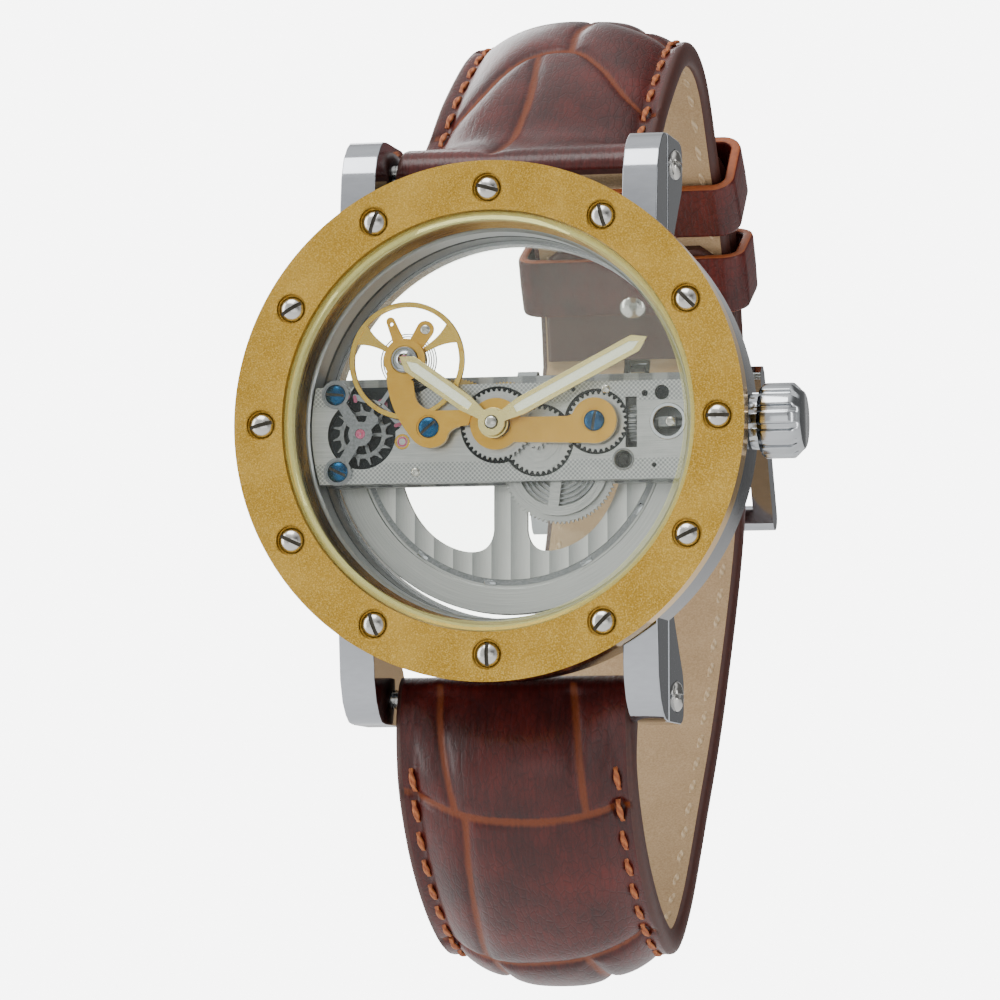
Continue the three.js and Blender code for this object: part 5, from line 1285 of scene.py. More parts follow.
def motion_work():
    to_minute = bearing(CENTRE, MINUTE_ARBOR)
    to_centre = to_minute + 180
    wheel("hour_wheel_cut", "hour_wheel", 40, HOUR_RADIUS, to_minute, False, 3.85, 4.05, CENTRE,
          [disc(CENTRE, 0.63, 0, 9, 32)], [disc(CENTRE, 1.05, 3.0, 3.95, 40),
                                           disc(CENTRE, 0.85, 2.32, 3.9, 40)])
    wheel("minute_wheel_cut", "minute_wheel", 36, MINUTE_RADIUS, to_centre, False, 4.4, 4.6, MINUTE_ARBOR,
          [ring_groove(MINUTE_ARBOR, 1.7, 1.95, 4.4)], [disc(MINUTE_ARBOR, PIVOT, 3.76, 5.05, 20), toothed(
              10, MINUTE_PINION_RADIUS, to_centre, MINUTE_ARBOR, 3.86, 4.5)])
    step = 360 / 36
    swing = bearing(MINUTE_ARBOR, SETTING_ARBOR) - to_centre - step / 2
    phase = swing / step - round(swing / step)
    facing = bearing(SETTING_ARBOR, MINUTE_ARBOR) + (0.5 + phase) * 360 / 32
    wheel("setting_wheel_cut", "setting_wheel", 32, SETTING_RADIUS, facing, True, 4.4, 4.6, SETTING_ARBOR,
          [disc(SETTING_ARBOR, 0.8, 0, 9, 40), ring_groove(SETTING_ARBOR, 1.5, 1.7, 4.4)])
    from_node("cannon_pinion", "tooth_steel", 0.01)


def ring_groove(centre, inner, outer, face):
    return turned([(inner, face - 1), (outer, face - 1), (outer, face + 0.05), (inner, face + 0.05)],
                  centre, 64)


def barrel():
    facing = bearing(BARREL_ARBOR, CENTRE)
    at = BARREL_ARBOR
    blank = toothed(80, BARREL_RADIUS, facing, at, 6.35, 6.65, False)
    drum = disc(at, 4.15, 5.6, 6.65, 112)
    hollow = disc(at, 3.85, 5.75, 6.5, 96)
    openings = [moved(gap, at[0], 0, at[1]) for gap in windows(1.1, 3.4, 3, 0.9, 4, 5.9, math.degrees(0.4))]
    rings = [ring_groove(at, r, r + 0.09, 5.6) for r in (3.52, 3.74, 3.96)]
    solid = cut(join(blank, drum), hollow, disc(at, 0.62, 0, 12, 40), *openings, *rings)

    def choose(middles, normals):
        away = np.hypot(middles[:, 0] - at[0], middles[:, 2] - at[1])
        return ((away > 4.4) | (np.abs(normals[:, 1]) < 0.9)).astype(int)

    piece("barrel_cut", softened(solid, 0.03, 2, 40), ["wheel_steel", "tooth_steel"], "barrel", centre=at,
          choose=choose)
    spring_part("mainspring_wound", "mainspring", at, 0.55, 3.62, 8, 0.1, 5.76, 6.4,
                [disc(at, 0.55, 5.56, 7.5, 40), disc(at, 0.42, 5.42, 7.5, 32)], 0.0)
    loose_part("barrel_arbor_screw", moved(domed_screw(0.42, 0.1, 0.1, 0.1, 60, 0.16), at[0], 5.55, at[1]),
               "screw_steel", at)


def spring_part(name, node, centre, inner, outer, turns, thickness, front, back, solids, start):
    """A flat spiral ribbon joined to its core."""
    outward, inward = [], []
    steps = int(turns * 40)
    for i in range(steps + 1):
        angle = i / steps * turns * 360 + start
        radius = inner + (outer - inner) * i / steps
        outward.append(polar(radius + thickness / 2, angle, centre))
        inward.append(polar(radius - thickness / 2, angle, centre))
    ribbon = [[(a[0], front, a[1]), (b[0], front, b[1]), (b[0], back, b[1]), (a[0], back, a[1])]
              for a, b in zip(outward, inward)]
    piece(name, together(skin(ribbon), *solids), "spring_steel", node, centre=centre)


def escapement():
    tip, rim, at = 2.53, 1.94, ESCAPE_ARBOR
    points = []
    for i in range(15):
        start = i * 24
        points += [polar(rim, start, at), polar(rim, start + 12, at), polar(rim + 0.16, start + 16.5, at),
                   polar(tip, start + 20.6, at), polar(tip, start + 22.6, at),
                   polar(rim + 0.1, start + 23.3, at)]
    gaps = [moved(gap, at[0], 0, at[1]) for gap in windows(0.62, rim * 0.82, 5, 0.3, 4, 6)]
    solid = cut(plate(points, 4.55, 4.75), *gaps)
    arbor = [disc(at, 0.2, 4.5, 6.3, 24), disc(at, PIVOT, 3.85, 7.9, 20), disc(at, 0.42, 4.48, 4.6, 24)]
    leaves = toothed(8, 0.339, bearing(at, FOURTH_ARBOR), at, 6.15, 6.75)
    piece("escape_wheel_cut", softened(join(solid, leaves, *arbor), 0.02, 1, 40), "tooth_steel",
          "escape_wheel", centre=at)
    from_node("pallet_fork", "lug_steel", 0.03, centre=PALLET_ARBOR)
    for i, side in enumerate((-1, 1)):
        turn = bearing(ESCAPE_ARBOR, PALLET_ARBOR) + side * 44
        stone = arm(polar(2.86, turn, at), polar(3.2, turn, at), 0.3, 4.52, 4.78)
        loose_part(f"pallet_stone_{i + 1}", softened(stone, 0.02, 1), "ruby", PALLET_ARBOR, "pallet")


def balance():
    at = BALANCE_STAFF
    outer = 4.8
    rim = turned([(4.38, 3.62), (4.41, 3.59), (outer - 0.04, 3.59), (outer, 3.63), (outer, 3.96),
                  (outer - 0.04, 4.0), (4.41, 4.0), (4.38, 3.97)], at, 160)
    spokes = []
    for angle in (30, 150, 270):
        across = angle + 90
        near, far = at, polar(outer - 0.36, angle, at)
        waist = polar(outer * 0.55, angle, at)
        left = curve(polar(0.16, across, near), polar(0.17, across, waist),
                     polar(0.3, across, polar(3.4, angle, at)),
                     polar(0.95, across, far), steps=14) + [polar(0.95, across, far)]
        right = curve(polar(-0.16, across, near), polar(-0.17, across, waist),
                      polar(-0.3, across, polar(3.4, angle, at)), polar(-0.95, across, far), steps=14)
        right += [polar(-0.95, across, far)]
        spokes.append(plate(left + right[::-1], 3.7, 3.92))
    hub = disc(at, 0.5, 3.68, 4.0, 40)
    solid = softened(join(rim, *spokes, hub), 0.03, 2, 40)
    piece("balance_gilt", solid, ["balance_gold"], "balance_wheel", centre=at)
    along = bearing(BALANCE_STAFF, PALLET_ARBOR)
    staff = [disc(at, 0.95, 4.35, 4.51, 40), disc(polar(0.75, along, at), 0.13, 4.45, 4.75, 20),
             turned([(0, 3.16), (0.11, 3.16), (0.22, 3.6), (0.22, 5.05), (0.11, 5.3), (0.11, 5.6),
                     (0, 5.6)], at, 28)]
    loose_part("balance_staff", together(*staff), "tooth_steel", at, "balance")
    for i in range(8):
        angle = 10 + 45 * i
        if min(abs((angle - a + 180) % 360 - 180) for a in (30, 150, 270)) < 14:
            continue
        weight = turned([(0, 3.52), (0.13, 3.52), (0.15, 3.55), (0.15, 3.62), (0, 3.62)],
                        polar(4.59, angle, at), 20)
        loose_part(f"balance_poise_{i + 1}", weight, "gilt_bright", at, "balance")
    collet = disc(at, 0.62, 4.08, 4.24, 32)
    spring_part("hairspring_coiled", "hairspring", at, 0.6, 2.38, 9, 0.07, 4.08, 4.24, [collet], 34.4)


def rotor():
    """Half-disc weight: brushed heavy rim, notched groove, striped web with two teardrop openings."""
    outer, inner = 15.1, 12.7
    front, web_back, back = 8.7, 9.2, 9.95
    web = plate(arc(CENTRE, outer, 180, 360, 120) + arc(CENTRE, 0.5, 360, 180, 8), front, web_back)
    heavy = plate(arc(CENTRE, outer, 180, 360, 120) + arc(CENTRE, inner, 360, 180, 100), front, back)
    tools = [disc(CENTRE, 1.25, 0, 12, 40)]
    for side in (-1, 1):
        outline = [(side * 1.4, -2.2), (side * 1.4, -8.2)]
        outline += curve((side * 1.4, -8.2), (side * 1.6, -10.2), (side * 3.7, -9.9), steps=14)
        outline += curve((side * 3.7, -9.9), (side * 6.4, -9.4), (side * 8.8, -7.2), (side * 9.5, -2.2),
                         steps=26)
        outline.append((side * 9.5, -2.2))
        tools.append(plate(outline, 0, 12))
    hub = disc(CENTRE, 2.6, front, web_back + 0.15, 72)
    inside = common(cut(join(web, hub), *tools), disc(CENTRE, inner - 0.45, 5, 12, 160))
    piece("rotor_web_striped", softened(inside, 0.06, 2, 40), "rotor_web", "rotor")
    step = [(inner - 2, 5), (inner + 0.25, 5), (inner + 0.25, front + 0.15), (inner - 2, front + 0.15)]
    rim = cut(heavy, turned(step, CENTRE, 160))
    loose_part("rotor_rim_brushed", softened(rim, 0.07, 2, 40), "rotor_rim", body="rotor")
    channel = arc(CENTRE, inner + 0.02, 180.4, 359.6, 100) + arc(CENTRE, inner - 0.5, 359.6, 180.4, 100)
    loose_part("rotor_channel", plate(channel, front + 0.15, web_back), "bar_wall", body="rotor")
    catches = []
    for angle in (188, 234, 262, 300, 328, 352):
        catch = softened(block((-0.5, front + 0.02, -0.2), (0.5, front + 0.3, 0.2)), 0.05, 2)
        catches.append(spun(moved(catch, 0.0, 0.0, inner - 0.12), 90 - angle))
    loose_part("rotor_catches", together(*catches), "lug_steel", body="rotor")
    bearing_ring = tube(CENTRE, 2.25, 1.3, 8.62, 8.8)
    loose_part("rotor_bearing", bearing_ring, "gilt_bright", body="rotor")
    balls = []
    for i in range(9):
        balls.append(turned([(0, 8.56), (0.16, 8.6), (0.22, 8.7), (0.16, 8.8), (0, 8.84)],
                            polar(1.77, 40 * i), 14))
    loose_part("rotor_balls", together(*balls), "lug_steel", body="rotor")


def rear_movement():
    from_node("rear_bridge", "rear_steel", 0.08)
    from_node("centre_wheel", "wheel_brass", 0)
    from_node("third_wheel", "wheel_brass", 0, centre=(-4.15, 0.65))
    from_node("fourth_wheel", "wheel_brass", 0, centre=FOURTH_ARBOR)


main_plate()
cock_and_bridges()
motion_work()
barrel()
escapement()
balance()
rotor()
rear_movement()


# ---- Hands ----------------------------------------------------------------------------------------


def hand(name, node, length, turn, front, eye, bore):
    """A pointed baton: a pale gold frame round a luminous stripe."""
    half = 0.725
    outline = [(-half * 0.55, 0), (half * 0.55, 0), (half * 0.62, eye), (half, eye + 1.6),
               (half, length - 1.1),
               (0.0, length), (-half, length - 1.1), (-half, eye + 1.6), (-half * 0.62, eye)]
    inner = half * 0.5
    slot = [(-inner * 0.75, eye + 1.1), (inner * 0.75, eye + 1.1), (inner, eye + 2.0), (inner, length - 1.5),
            (0.0, length - 0.75), (-inner, length - 1.5), (-inner, eye + 2.0)]
    back = front + 0.26
    solid = cut(join(plate(outline, front, back), disc(CENTRE, eye, front, back, 56)), plate(slot, 0, 9),
                disc(CENTRE, bore, 0, 9, 36))
    solid = spun(softened(solid, 0.07, 2, 40), turn)
    piece(name + "_frame", solid, "hand_gilt", node)
    fill = spun(softened(plate(slot, front + 0.05, back - 0.02), 0.015, 1), turn)
    piece(name + "_lume", fill, "lume", body=body_of_node[node])


hand("minute_hand", "minute_hand", 14.4, 62.7, 1.68, 1.1, 0.56)
hand("hour_hand", "hour_hand", 9.6, -54.5, 2.3, 1.25, 0.9)
pin = turned([(0, 1.5), (0.34, 1.5), (0.46, 1.58), (0.5, 1.7), (0.5, 2.0), (0, 2.0)], CENTRE, 40)
piece("hand_pin", pin, "screw_steel", body="centre")


# ---- Strap ----------------------------------------------------------------------------------------

BUCKLE_ROUTE = [(11.5, 21.8), (18, 24.3), (25.2, 30.2), (33.2, 35.1), (39.8, 36.2), (45.9, 34), (51.8, 28),
                (57.4, 22.2), (60.4, 15.8), (61.6, 9.5)]
TAIL_ROUTE = [(11.5, -21.8), (9.9, -27.8), (13.6, -34.6), (20.8, -40.4), (28.4, -42.7), (35.2, -39.3),
              (43.6, -30.6),
              (51.6, -21.8), (60.2, -10.4), (64.4, -2.4), (65.1, 4), (65, 9.5), (63.3, 17.2), (59.9, 24.6),
              (54.9, 29.9), (52.4, 31.5)]
STRAP_WIDTH, STRAP_END_WIDTH = 20.0, 18.0
ROOT_THICKNESS, PADDED_THICKNESS = 3.6, 4.4
BUCKLE_END_THICKNESS, TAIL_THICKNESS = 2.3, 2.1
EDGE_THICKNESS = 2.15
STITCH_INSET = 1.45
STITCH_PITCH = 2.9
KEEPER_LENGTH = 5.4
TOP_COLUMNS, EDGE_COLUMNS, LINING_COLUMNS = 66, 9, 22
TAIL_HOLES, TAIL_HOLE_PITCH, USED_HOLE = 6, 6.0, 3
TAIL_FLEX = {"bodies": ("case", "strap_buckle_side"), "start": (0, 0.01, -0.035), "end": (0, 0.053, 0.01)}


def smooth(value, low, high):
    share = np.clip((value - low) / (high - low), 0, 1)
    return share * share * (3 - 2 * share)


def spline_point(points, i, share):
    """The place a share of the way from point i to the next, on a smooth line through all the points."""
    a, b = points[max(i - 1, 0)], points[i]
    c, d = points[i + 1], points[min(i + 2, len(points) - 1)]
    leave, arrive = (c - a) / 2, (d - b) / 2
    cubic = 2 * b - 2 * c + leave + arrive
    square = 3 * c - 3 * b - 2 * leave - arrive
    return cubic * share**3 + square * share**2 + leave * share + b


class Route:
    """A side line of the strap, walked by its length. Heights are measured towards the outer side."""

    def __init__(self, points, outer):
        points = np.array(points, float)
        share = np.linspace(0, 1, 60, endpoint=False)[:, None]
        samples = [spline_point(points, i, share) for i in range(len(points) - 1)]
        self.line = np.vstack(samples + [points[-1:]])
        steps = np.linalg.norm(np.diff(self.line, axis=0), axis=1)
        self.walked = np.concatenate([[0], np.cumsum(steps)])
        self.length = self.walked[-1]
        self.outer = outer

    def at(self, along):
        """(middle, outward) at each distance, carried on straight past the ends."""
        along = np.asarray(along, float)
        held = np.clip(along, 0, self.length)
        near = [np.interp(held + d, self.walked, self.line[:, k]) for d in (0, -0.4, 0.4) for k in (0, 1)]
        middle = np.stack(near[:2], -1)
        tangent = np.stack(near[4:], -1) - np.stack(near[2:4], -1)
        tangent /= np.linalg.norm(tangent, axis=-1, keepdims=True)
        middle = middle + tangent * (along - held)[..., None]
        outward = np.stack([-tangent[..., 1], tangent[..., 0]], -1) * self.outer
        return middle, outward

    def point(self, x, height, along):
        middle, outward = self.at(along)
        spot = middle + outward * np.asarray(height, float)[..., None]
        return np.stack([np.broadcast_to(x, spot.shape[:-1]), spot[..., 0], spot[..., 1]], -1)


def groove_distance(lines, along, x):
    best = np.full(along.shape, 1e3)
    for line in lines:
        for (s0, x0), (s1, x1) in zip(line[:-1], line[1:]):
            ds, dx = s1 - s0, x1 - x0
            t = np.clip(((along - s0) * ds + (x - x0) * dx) / (ds * ds + dx * dx), 0, 1)
            best = np.minimum(best, np.hypot(along - s0 - t * ds, x - x0 - t * dx))
    return best


def eased_line(points, steps=5):
    """A bent line through the points with its corners rounded."""
    points = np.array(points, float)
    made = [points[0]]
    for i in range(len(points) - 1):
        made += [spline_point(points, i, share) for share in np.linspace(0, 1, steps + 1)[1:]]
    return made


def scale_rows(start, end, seed, pitch=10.0):
    """Rows of large square scales: a wavy line across, then two or three lines along to the next."""
    random = np.random.default_rng(seed)
    lines = []
    along = start
    while along < end:
        wave = random.uniform(-0.9, 0.9, 5)
        lines.append([(along + wave[k], x) for k, x in enumerate((-10.5, -5, 0, 5, 10.5))])
        step = pitch + random.uniform(-1.2, 1.4)
        middles = (-5.4, 0.3, 5.6) if random.uniform() < 0.5 else (-3.2, 3.4)
        for middle in middles:
            x = middle + random.uniform(-0.9, 0.9)
            lines.append([(along, x), (along + step / 2, x + random.uniform(-0.5, 0.5)), (along + step, x)])
        along += step
    return lines


TAIL_GROOVES = [eased_line(line) for line in [
    [(7.6, -10.5), (9.2, -5), (9.7, 0), (9.7, 5), (9.2, 10.5)],
    [(-0.5, -6.3), (4, -5.9), (9.2, -4.8)],
    [(-0.5, 4.9), (5, 5.6), (9.5, 6.0)],
    [(26.5, -10.5), (26, -4), (25.3, 1), (24.6, 10.5)],
    [(9.7, -4), (18, -4.6), (26, -5.2)],
    [(26, -4.6), (31, -4.2), (36.5, -4.9)],
    [(25.2, 3.6), (31, 4.3), (36.5, 3.8)],
] + scale_rows(36.5, 118, 5)]
BUCKLE_GROOVES = [eased_line(line) for line in [
    [(9.2, -10.5), (13, -6.5), (18.6, -3), (19.8, 1.2), (17.5, 4), (13.8, 7), (12.5, 10.5)],
    [(19.8, 1.2), (24, 1.0), (28.6, 1.6)],
    [(18.9, -1.5), (12, -1), (3, -1.8), (-0.5, -2)],
] + scale_rows(28.6, 66, 11)]


def strap_mesh(route, grooves, thickness, half_width, ends):
    """The closed skin of one half: outer leather, painted edges and a flat lining."""
    low, high = ends
    stations = np.arange(0.25, route.length - 0.1, 0.25)
    start = -low * np.cos(np.linspace(0.12, math.pi / 2, 9))
    stop = route.length + high * np.sin(np.linspace(0, math.pi / 2 - 0.12, 9 if high else 1))
    along = np.concatenate([start, stations, stop])[:, None]
    bulb = 2 * np.sqrt(np.maximum(low**2 - np.minimum(along, 0) ** 2, 0.01))
    thick = thickness(np.clip(along, 0, route.length))
    thick = np.where(along < 0, bulb, thick)
    if high:
        away = np.minimum(np.abs(along - route.length), high - 0.03)
        inside = np.where(along > route.length, 0, thick)
        round_end = np.maximum(2 * np.sqrt(high**2 - away**2), inside)
        thick = np.where(along > route.length - high, round_end, thick)
    closing = smooth(along, route.length - 2 * high - 2, route.length - high) * (high > 0)
    loose = smooth(along, 0.5, 6) * (1 - closing)
    edge = thick + (np.minimum(EDGE_THICKNESS, thick) - thick) * loose
    half = half_width(along)
    bulge = np.minimum(0.6, edge * 0.3)
    flat = half - bulge
    even = np.linspace(-1, 1, TOP_COLUMNS)[None, :]
    across = np.sin(even * math.pi / 2) * 0.35 + even * 0.65
    x_top = across * flat
    crest = np.clip(np.abs(x_top) / np.maximum(half - STITCH_INSET - 0.3, 0.5), 0, 1)
    dome = (1 - crest**2.4) ** 0.85 * loose
    level = -thick / 2 + edge + (thick - edge) * np.where(loose > 0, dome / np.maximum(loose, 1e-6), 0)
    padding = smooth(along, 5, 13) * (1 - smooth(along, 30, 48))
    level = level + 0.55 * padding * (1 - crest**2.2)
    stitched = smooth(along, 3.5, 5.5)
    level = level - 0.16 * stitched * np.exp(-(((np.abs(x_top) - half + STITCH_INSET) / 0.4) ** 2))
    away = groove_distance(grooves, np.broadcast_to(along, x_top.shape).copy(), x_top)
    fade = 1 - 0.55 * smooth(np.abs(x_top), half - 1.4, half - 0.3)
    depth = (0.3 * np.exp(-((away / 0.42) ** 2)) + 0.2 * np.exp(-((away / 1.3) ** 2))) * fade
    top = level - depth * smooth(along, -1.2, 0.5)
    turn = np.linspace(math.pi / 2, -math.pi / 2, EDGE_COLUMNS + 2)[None, 1:-1]
    swell = np.sign(np.cos(turn)) * np.abs(np.cos(turn)) ** 0.75
    middle = -thick / 2 + edge / 2
    x_right, h_right = flat + bulge * swell, middle + edge / 2 * np.sin(turn)
    x_low = -np.linspace(-1, 1, LINING_COLUMNS)[None, :] * flat
    h_low = np.broadcast_to(-thick / 2, x_low.shape)
    x = np.hstack([x_top, x_right, x_low, -x_right[:, ::-1]])
    height = np.hstack([top, h_right, h_low, h_right[:, ::-1]])
    place = np.stack([x, height, np.broadcast_to(along, x.shape)], -1)
    points = route.point(x, height, np.broadcast_to(along, x.shape))
    rows, columns = x.shape
    top_end = TOP_COLUMNS - 1
    lining_start = TOP_COLUMNS + EDGE_COLUMNS
    lining_end = lining_start + LINING_COLUMNS - 1
    faces, region = [], []
    for i in range(rows - 1):
        for j in range(columns):
            k = (j + 1) % columns
            faces.append((i * columns + j, i * columns + k, (i + 1) * columns + k, (i + 1) * columns + j))
            region.append(0 if j < top_end else 2 if lining_start <= j < lining_end else 1)
    faces += [tuple(range(columns)), tuple(range((rows - 1) * columns, rows * columns))[::-1]]
    mesh = mesh_of(points.reshape(-1, 3), faces)
    for one in ("leather", "leather_edge", "lining"):
        mesh.materials.append(FINISHES[one].material)
    mesh.attributes.new("place", "FLOAT_VECTOR", "POINT").data.foreach_set("vector", place.ravel())
    mesh.polygons.foreach_set("material_index", region + [1, 1])
    return edited(mesh)


def groove_mark(mesh, grooves):
    at = np.empty(len(mesh.vertices) * 3)
    mesh.attributes["place"].data.foreach_get("vector", at)
    x, height, along = at.reshape(-1, 3).T
    return np.exp(-((groove_distance(grooves, along, x) / 0.36) ** 2)) * smooth(height, -0.9, -0.3)


def stitch_row(route, start, stop, half_width, level, side, lining):
    """Short twisted stitches, each dipping into the leather at its ends."""
    made = []
    count = int((stop - start) / STITCH_PITCH)
    for i in range(count):
        middle = start + (i + 0.5) * (stop - start) / count
        for strand in (-1, 1):
            rings = []
            for k in range(9):
                t = k / 8 * 2 - 1
                along = middle + t * STITCH_PITCH * 0.36
                twist = strand * 0.11 * math.cos(t * 2.6)
                x = side * (half_width(along) - STITCH_INSET) + twist + t * 0.12
                lift = level(along) + (0.06 + 0.2 * t**4 if lining else 0.13 - 0.34 * t**4)
                size = 0.17 * (1 - 0.3 * t**4)
                ring = [(x + size * math.cos(TAU * a / 8), lift + size * math.sin(TAU * a / 8), along)
                        for a in range(8)]
                rings.append(ring)
            made.append(np.array(rings))
    points, faces = [], []
    for body in made:
        base = len(points)
        flat = body.reshape(-1, 3)
        points += list(route.point(flat[:, 0], flat[:, 1], flat[:, 2]))
        for k in range(8):
            for a in range(8):
                b = (a + 1) % 8
                faces.append((base + k * 8 + a, base + k * 8 + b, base + k * 8 + 8 + b, base + k * 8 + 8 + a))
        faces += [tuple(range(base, base + 8)), tuple(range(base + 64, base + 72))[::-1]]
    return mesh_of(points, faces)


def stitches(route, start, stop, half_width, thickness, lining):
    def level(along):
        thick = float(thickness(np.array(along)))
        return -thick / 2 if lining else -thick / 2 + min(EDGE_THICKNESS, thick) - 0.1

    rows = [stitch_row(route, start, stop, half_width, level, side, lining) for side in (-1, 1)]
    return edited(together(*rows))


def strap_half_width(length):
    def half(along):
        share = np.clip(np.asarray(along, float) / length, 0, 1)
        return (STRAP_WIDTH + (STRAP_END_WIDTH - STRAP_WIDTH) * smooth(share, 0.05, 0.9)) / 2

    return half


def buckle_half():
    route = Route(BUCKLE_ROUTE, 1)
    length = route.length

    def thickness(along):
        share = along / length
        swell = ROOT_THICKNESS + (PADDED_THICKNESS - ROOT_THICKNESS) * smooth(share, 0, 0.16)
        return swell + (BUCKLE_END_THICKNESS - swell) * smooth(share, 0.3, 0.66)

    half = strap_half_width(length)
    mesh = strap_mesh(route, BUCKLE_GROOVES, thickness, half, (ROOT_THICKNESS / 2, 1.85))
    depth, z = BUCKLE_ROUTE[-1]
    notch = block((-1.2, depth - 4, z - 4), (1.2, depth + 4, z + 2.6))
    mesh = cut(mesh, cross_bar(0.81, -20, 20, LUG_SCREW), cross_bar(1.0, -20, 20, (depth, z)), notch)
    made = piece("strap_upper_leather", mesh, ["leather", "leather_edge", "lining"], "strap_buckle_half",
                 marks={"groove": groove_mark(mesh, BUCKLE_GROOVES)}, angle=50)
    for lining, name, finish_name in ((False, "strap_upper_stitches", "thread"),
                                      (True, "strap_upper_stitches_inside", "thread_pale")):
        piece(name, stitches(route, 5.5, length - 7, half, thickness, lining), finish_name,
              body="strap_buckle_side")
    flap = []
    for along in np.linspace(length - 13, length - 2, 24):
        inner = -float(thickness(np.array(along))) / 2
        narrow = 8.2 if along > length - 11.6 else 8.2 - (length - 11.6 - along) * 1.2
        outline = [(-narrow, inner + 0.1), (narrow, inner + 0.1), (narrow, inner - 0.5),
                   (narrow - 0.3, inner - 0.8), (0.3 - narrow, inner - 0.8), (-narrow, inner - 0.5)]
        flap.append(route.point(np.array([x for x, _ in outline]), np.array([h for _, h in outline]),
                                np.full(6, along)))
    piece("strap_fold", softened(skin(flap), 0.12, 2, 40), "leather_edge", body="strap_buckle_side")
    spot = length - 7.2
    inner = -float(thickness(np.array(spot))) / 2 - 0.8
    rings = []
    for radius, lift in ((1.35, -0.15), (1.35, 0.1), (1.2, 0.38), (0.95, 0.6), (0.6, 0.75), (0.25, 0.81)):
        turn = np.arange(32) * TAU / 32
        rings.append(route.point(radius * np.cos(turn), np.full(32, inner - lift),
                                 spot + radius * np.sin(turn)))
    piece("strap_rivet", skin(rings), "screw_steel", body="strap_buckle_side")


def tail_half():
    route = Route(TAIL_ROUTE, -1)
    length = route.length

    def thickness(along):
        share = along / length
        swell = ROOT_THICKNESS + (PADDED_THICKNESS - ROOT_THICKNESS) * smooth(share, 0, 0.1)
        return swell + (TAIL_THICKNESS - swell) * smooth(share, 0.2, 0.55)

    straight = strap_half_width(length)
    tip = 8.0

    def half(along):
        past = np.clip((np.asarray(along, float) - (length - tip)) / tip, 0, 0.995)
        return straight(along) * (1 - past**2.3) ** 0.55

    mesh = strap_mesh(route, TAIL_GROOVES, thickness, half, (ROOT_THICKNESS / 2, 0))
    buckle_level = BUCKLE_ROUTE[-1][1] - 2
    nearest = min(np.arange(0.5, 0.9, 0.002),
                  key=lambda share: abs(route.at(share * length)[0][1] - buckle_level))
    holes = []
    for i in range(TAIL_HOLES):
        along = nearest * length + (i - USED_HOLE) * TAIL_HOLE_PITCH
        reach = 2.3 if i == USED_HOLE else 1.5
        turn = np.arange(28) * TAU / 28
        rings = [route.point(1.05 * np.cos(turn), np.full(28, h), along + reach * np.sin(turn))
                 for h in (-4.0, 4.0)]
        holes.append(skin(rings))
    mesh = cut(mesh, cross_bar(0.81, -20, 20, (LUG_SCREW[0], -LUG_SCREW[1])), *holes)
    made = piece("strap_lower_leather", mesh, ["leather", "leather_edge", "lining"], "strap_tail_half",
                 marks={"groove": groove_mark(mesh, TAIL_GROOVES)}, angle=50, flex=TAIL_FLEX)
    for lining, name, finish_name in ((False, "strap_lower_stitches", "thread"),
                                      (True, "strap_lower_stitches_inside", "thread_pale")):
        rows = stitches(route, 5.5, length - tip - 1, half, thickness, lining)
        piece(name, rows, finish_name, flex=TAIL_FLEX)


def keeper(name, node, place, tilt):
    """A leather loop with rounded corners and rounded painted edges."""
    half = STRAP_END_WIDTH / 2 + 0.55
    inner = (BUCKLE_END_THICKNESS + TAIL_THICKNESS + 1.1) / 2 + 0.35
    wall = 0.98

    def loop(grow, along):
        reach = min(1.0 + grow, 2.1)
        corners = []
        for sx, sh, start in ((1, 1, 0), (-1, 1, 90), (-1, -1, 180), (1, -1, 270)):
            centre = (sx * (half + grow - reach), sh * (inner + grow - reach))
            corners += arc(centre, reach, start, start + 90, 9)
        spread = []
        for a, b in zip(corners, corners[1:] + corners[:1]):
            steps = 14 if math.dist(a, b) > 6 else 1
            spread += [(a[0] + (b[0] - a[0]) * k / steps, a[1] + (b[1] - a[1]) * k / steps)
                       for k in range(steps)]
        return [(x, h, along) for x, h in spread]

    edge = KEEPER_LENGTH / 2
    section = [(0.0, -edge + 0.35), (0.12, -edge + 0.1), (0.3, -edge), (0.7, -edge), (0.9, -edge + 0.1),
               (wall, -edge + 0.35), (wall + 0.04, 0.0), (wall, edge - 0.35), (0.9, edge - 0.1), (0.7, edge),
               (0.3, edge), (0.12, edge - 0.1), (0.0, edge - 0.35)]
    mesh = skin([loop(grow, along) for grow, along in section], wrap=True)
    own = np.empty(len(mesh.vertices) * 3)
    mesh.vertices.foreach_get("co", own)
    mesh.attributes.new("place", "FLOAT_VECTOR", "POINT").data.foreach_set("vector", own)
    sides = [1 if abs(face.normal[2]) > 0.5 else 0 for face in mesh.polygons]
    mesh.materials.append(FINISHES["leather"].material)
    mesh.materials.append(FINISHES["keeper_edge"].material)
    mesh.polygons.foreach_set("material_index", sides)
    mesh.transform(Matrix.Translation((0, place[0], place[1])) @ Matrix.Rotation(math.radians(tilt), 4, "X"))
    made = piece(name, mesh, ["leather", "keeper_edge"], node, angle=60)


buckle_half()
tail_half()
keeper("keeper_fixed_loop", "keeper_fixed", (60.75, 19.35), 27)
keeper("keeper_free_loop", "keeper_free", (55.9, 26.35), 45)
from_node("buckle_frame", "lug_steel", 0.3)
from_node("buckle_bar", "screw_steel", 0.05)
from_node("buckle_tongue", "lug_steel", 0.2)


# ---- Floor, light and camera ----------------------------------------------------------------------


ROOM_SHADE = 0.16
BACKDROP = 7.0


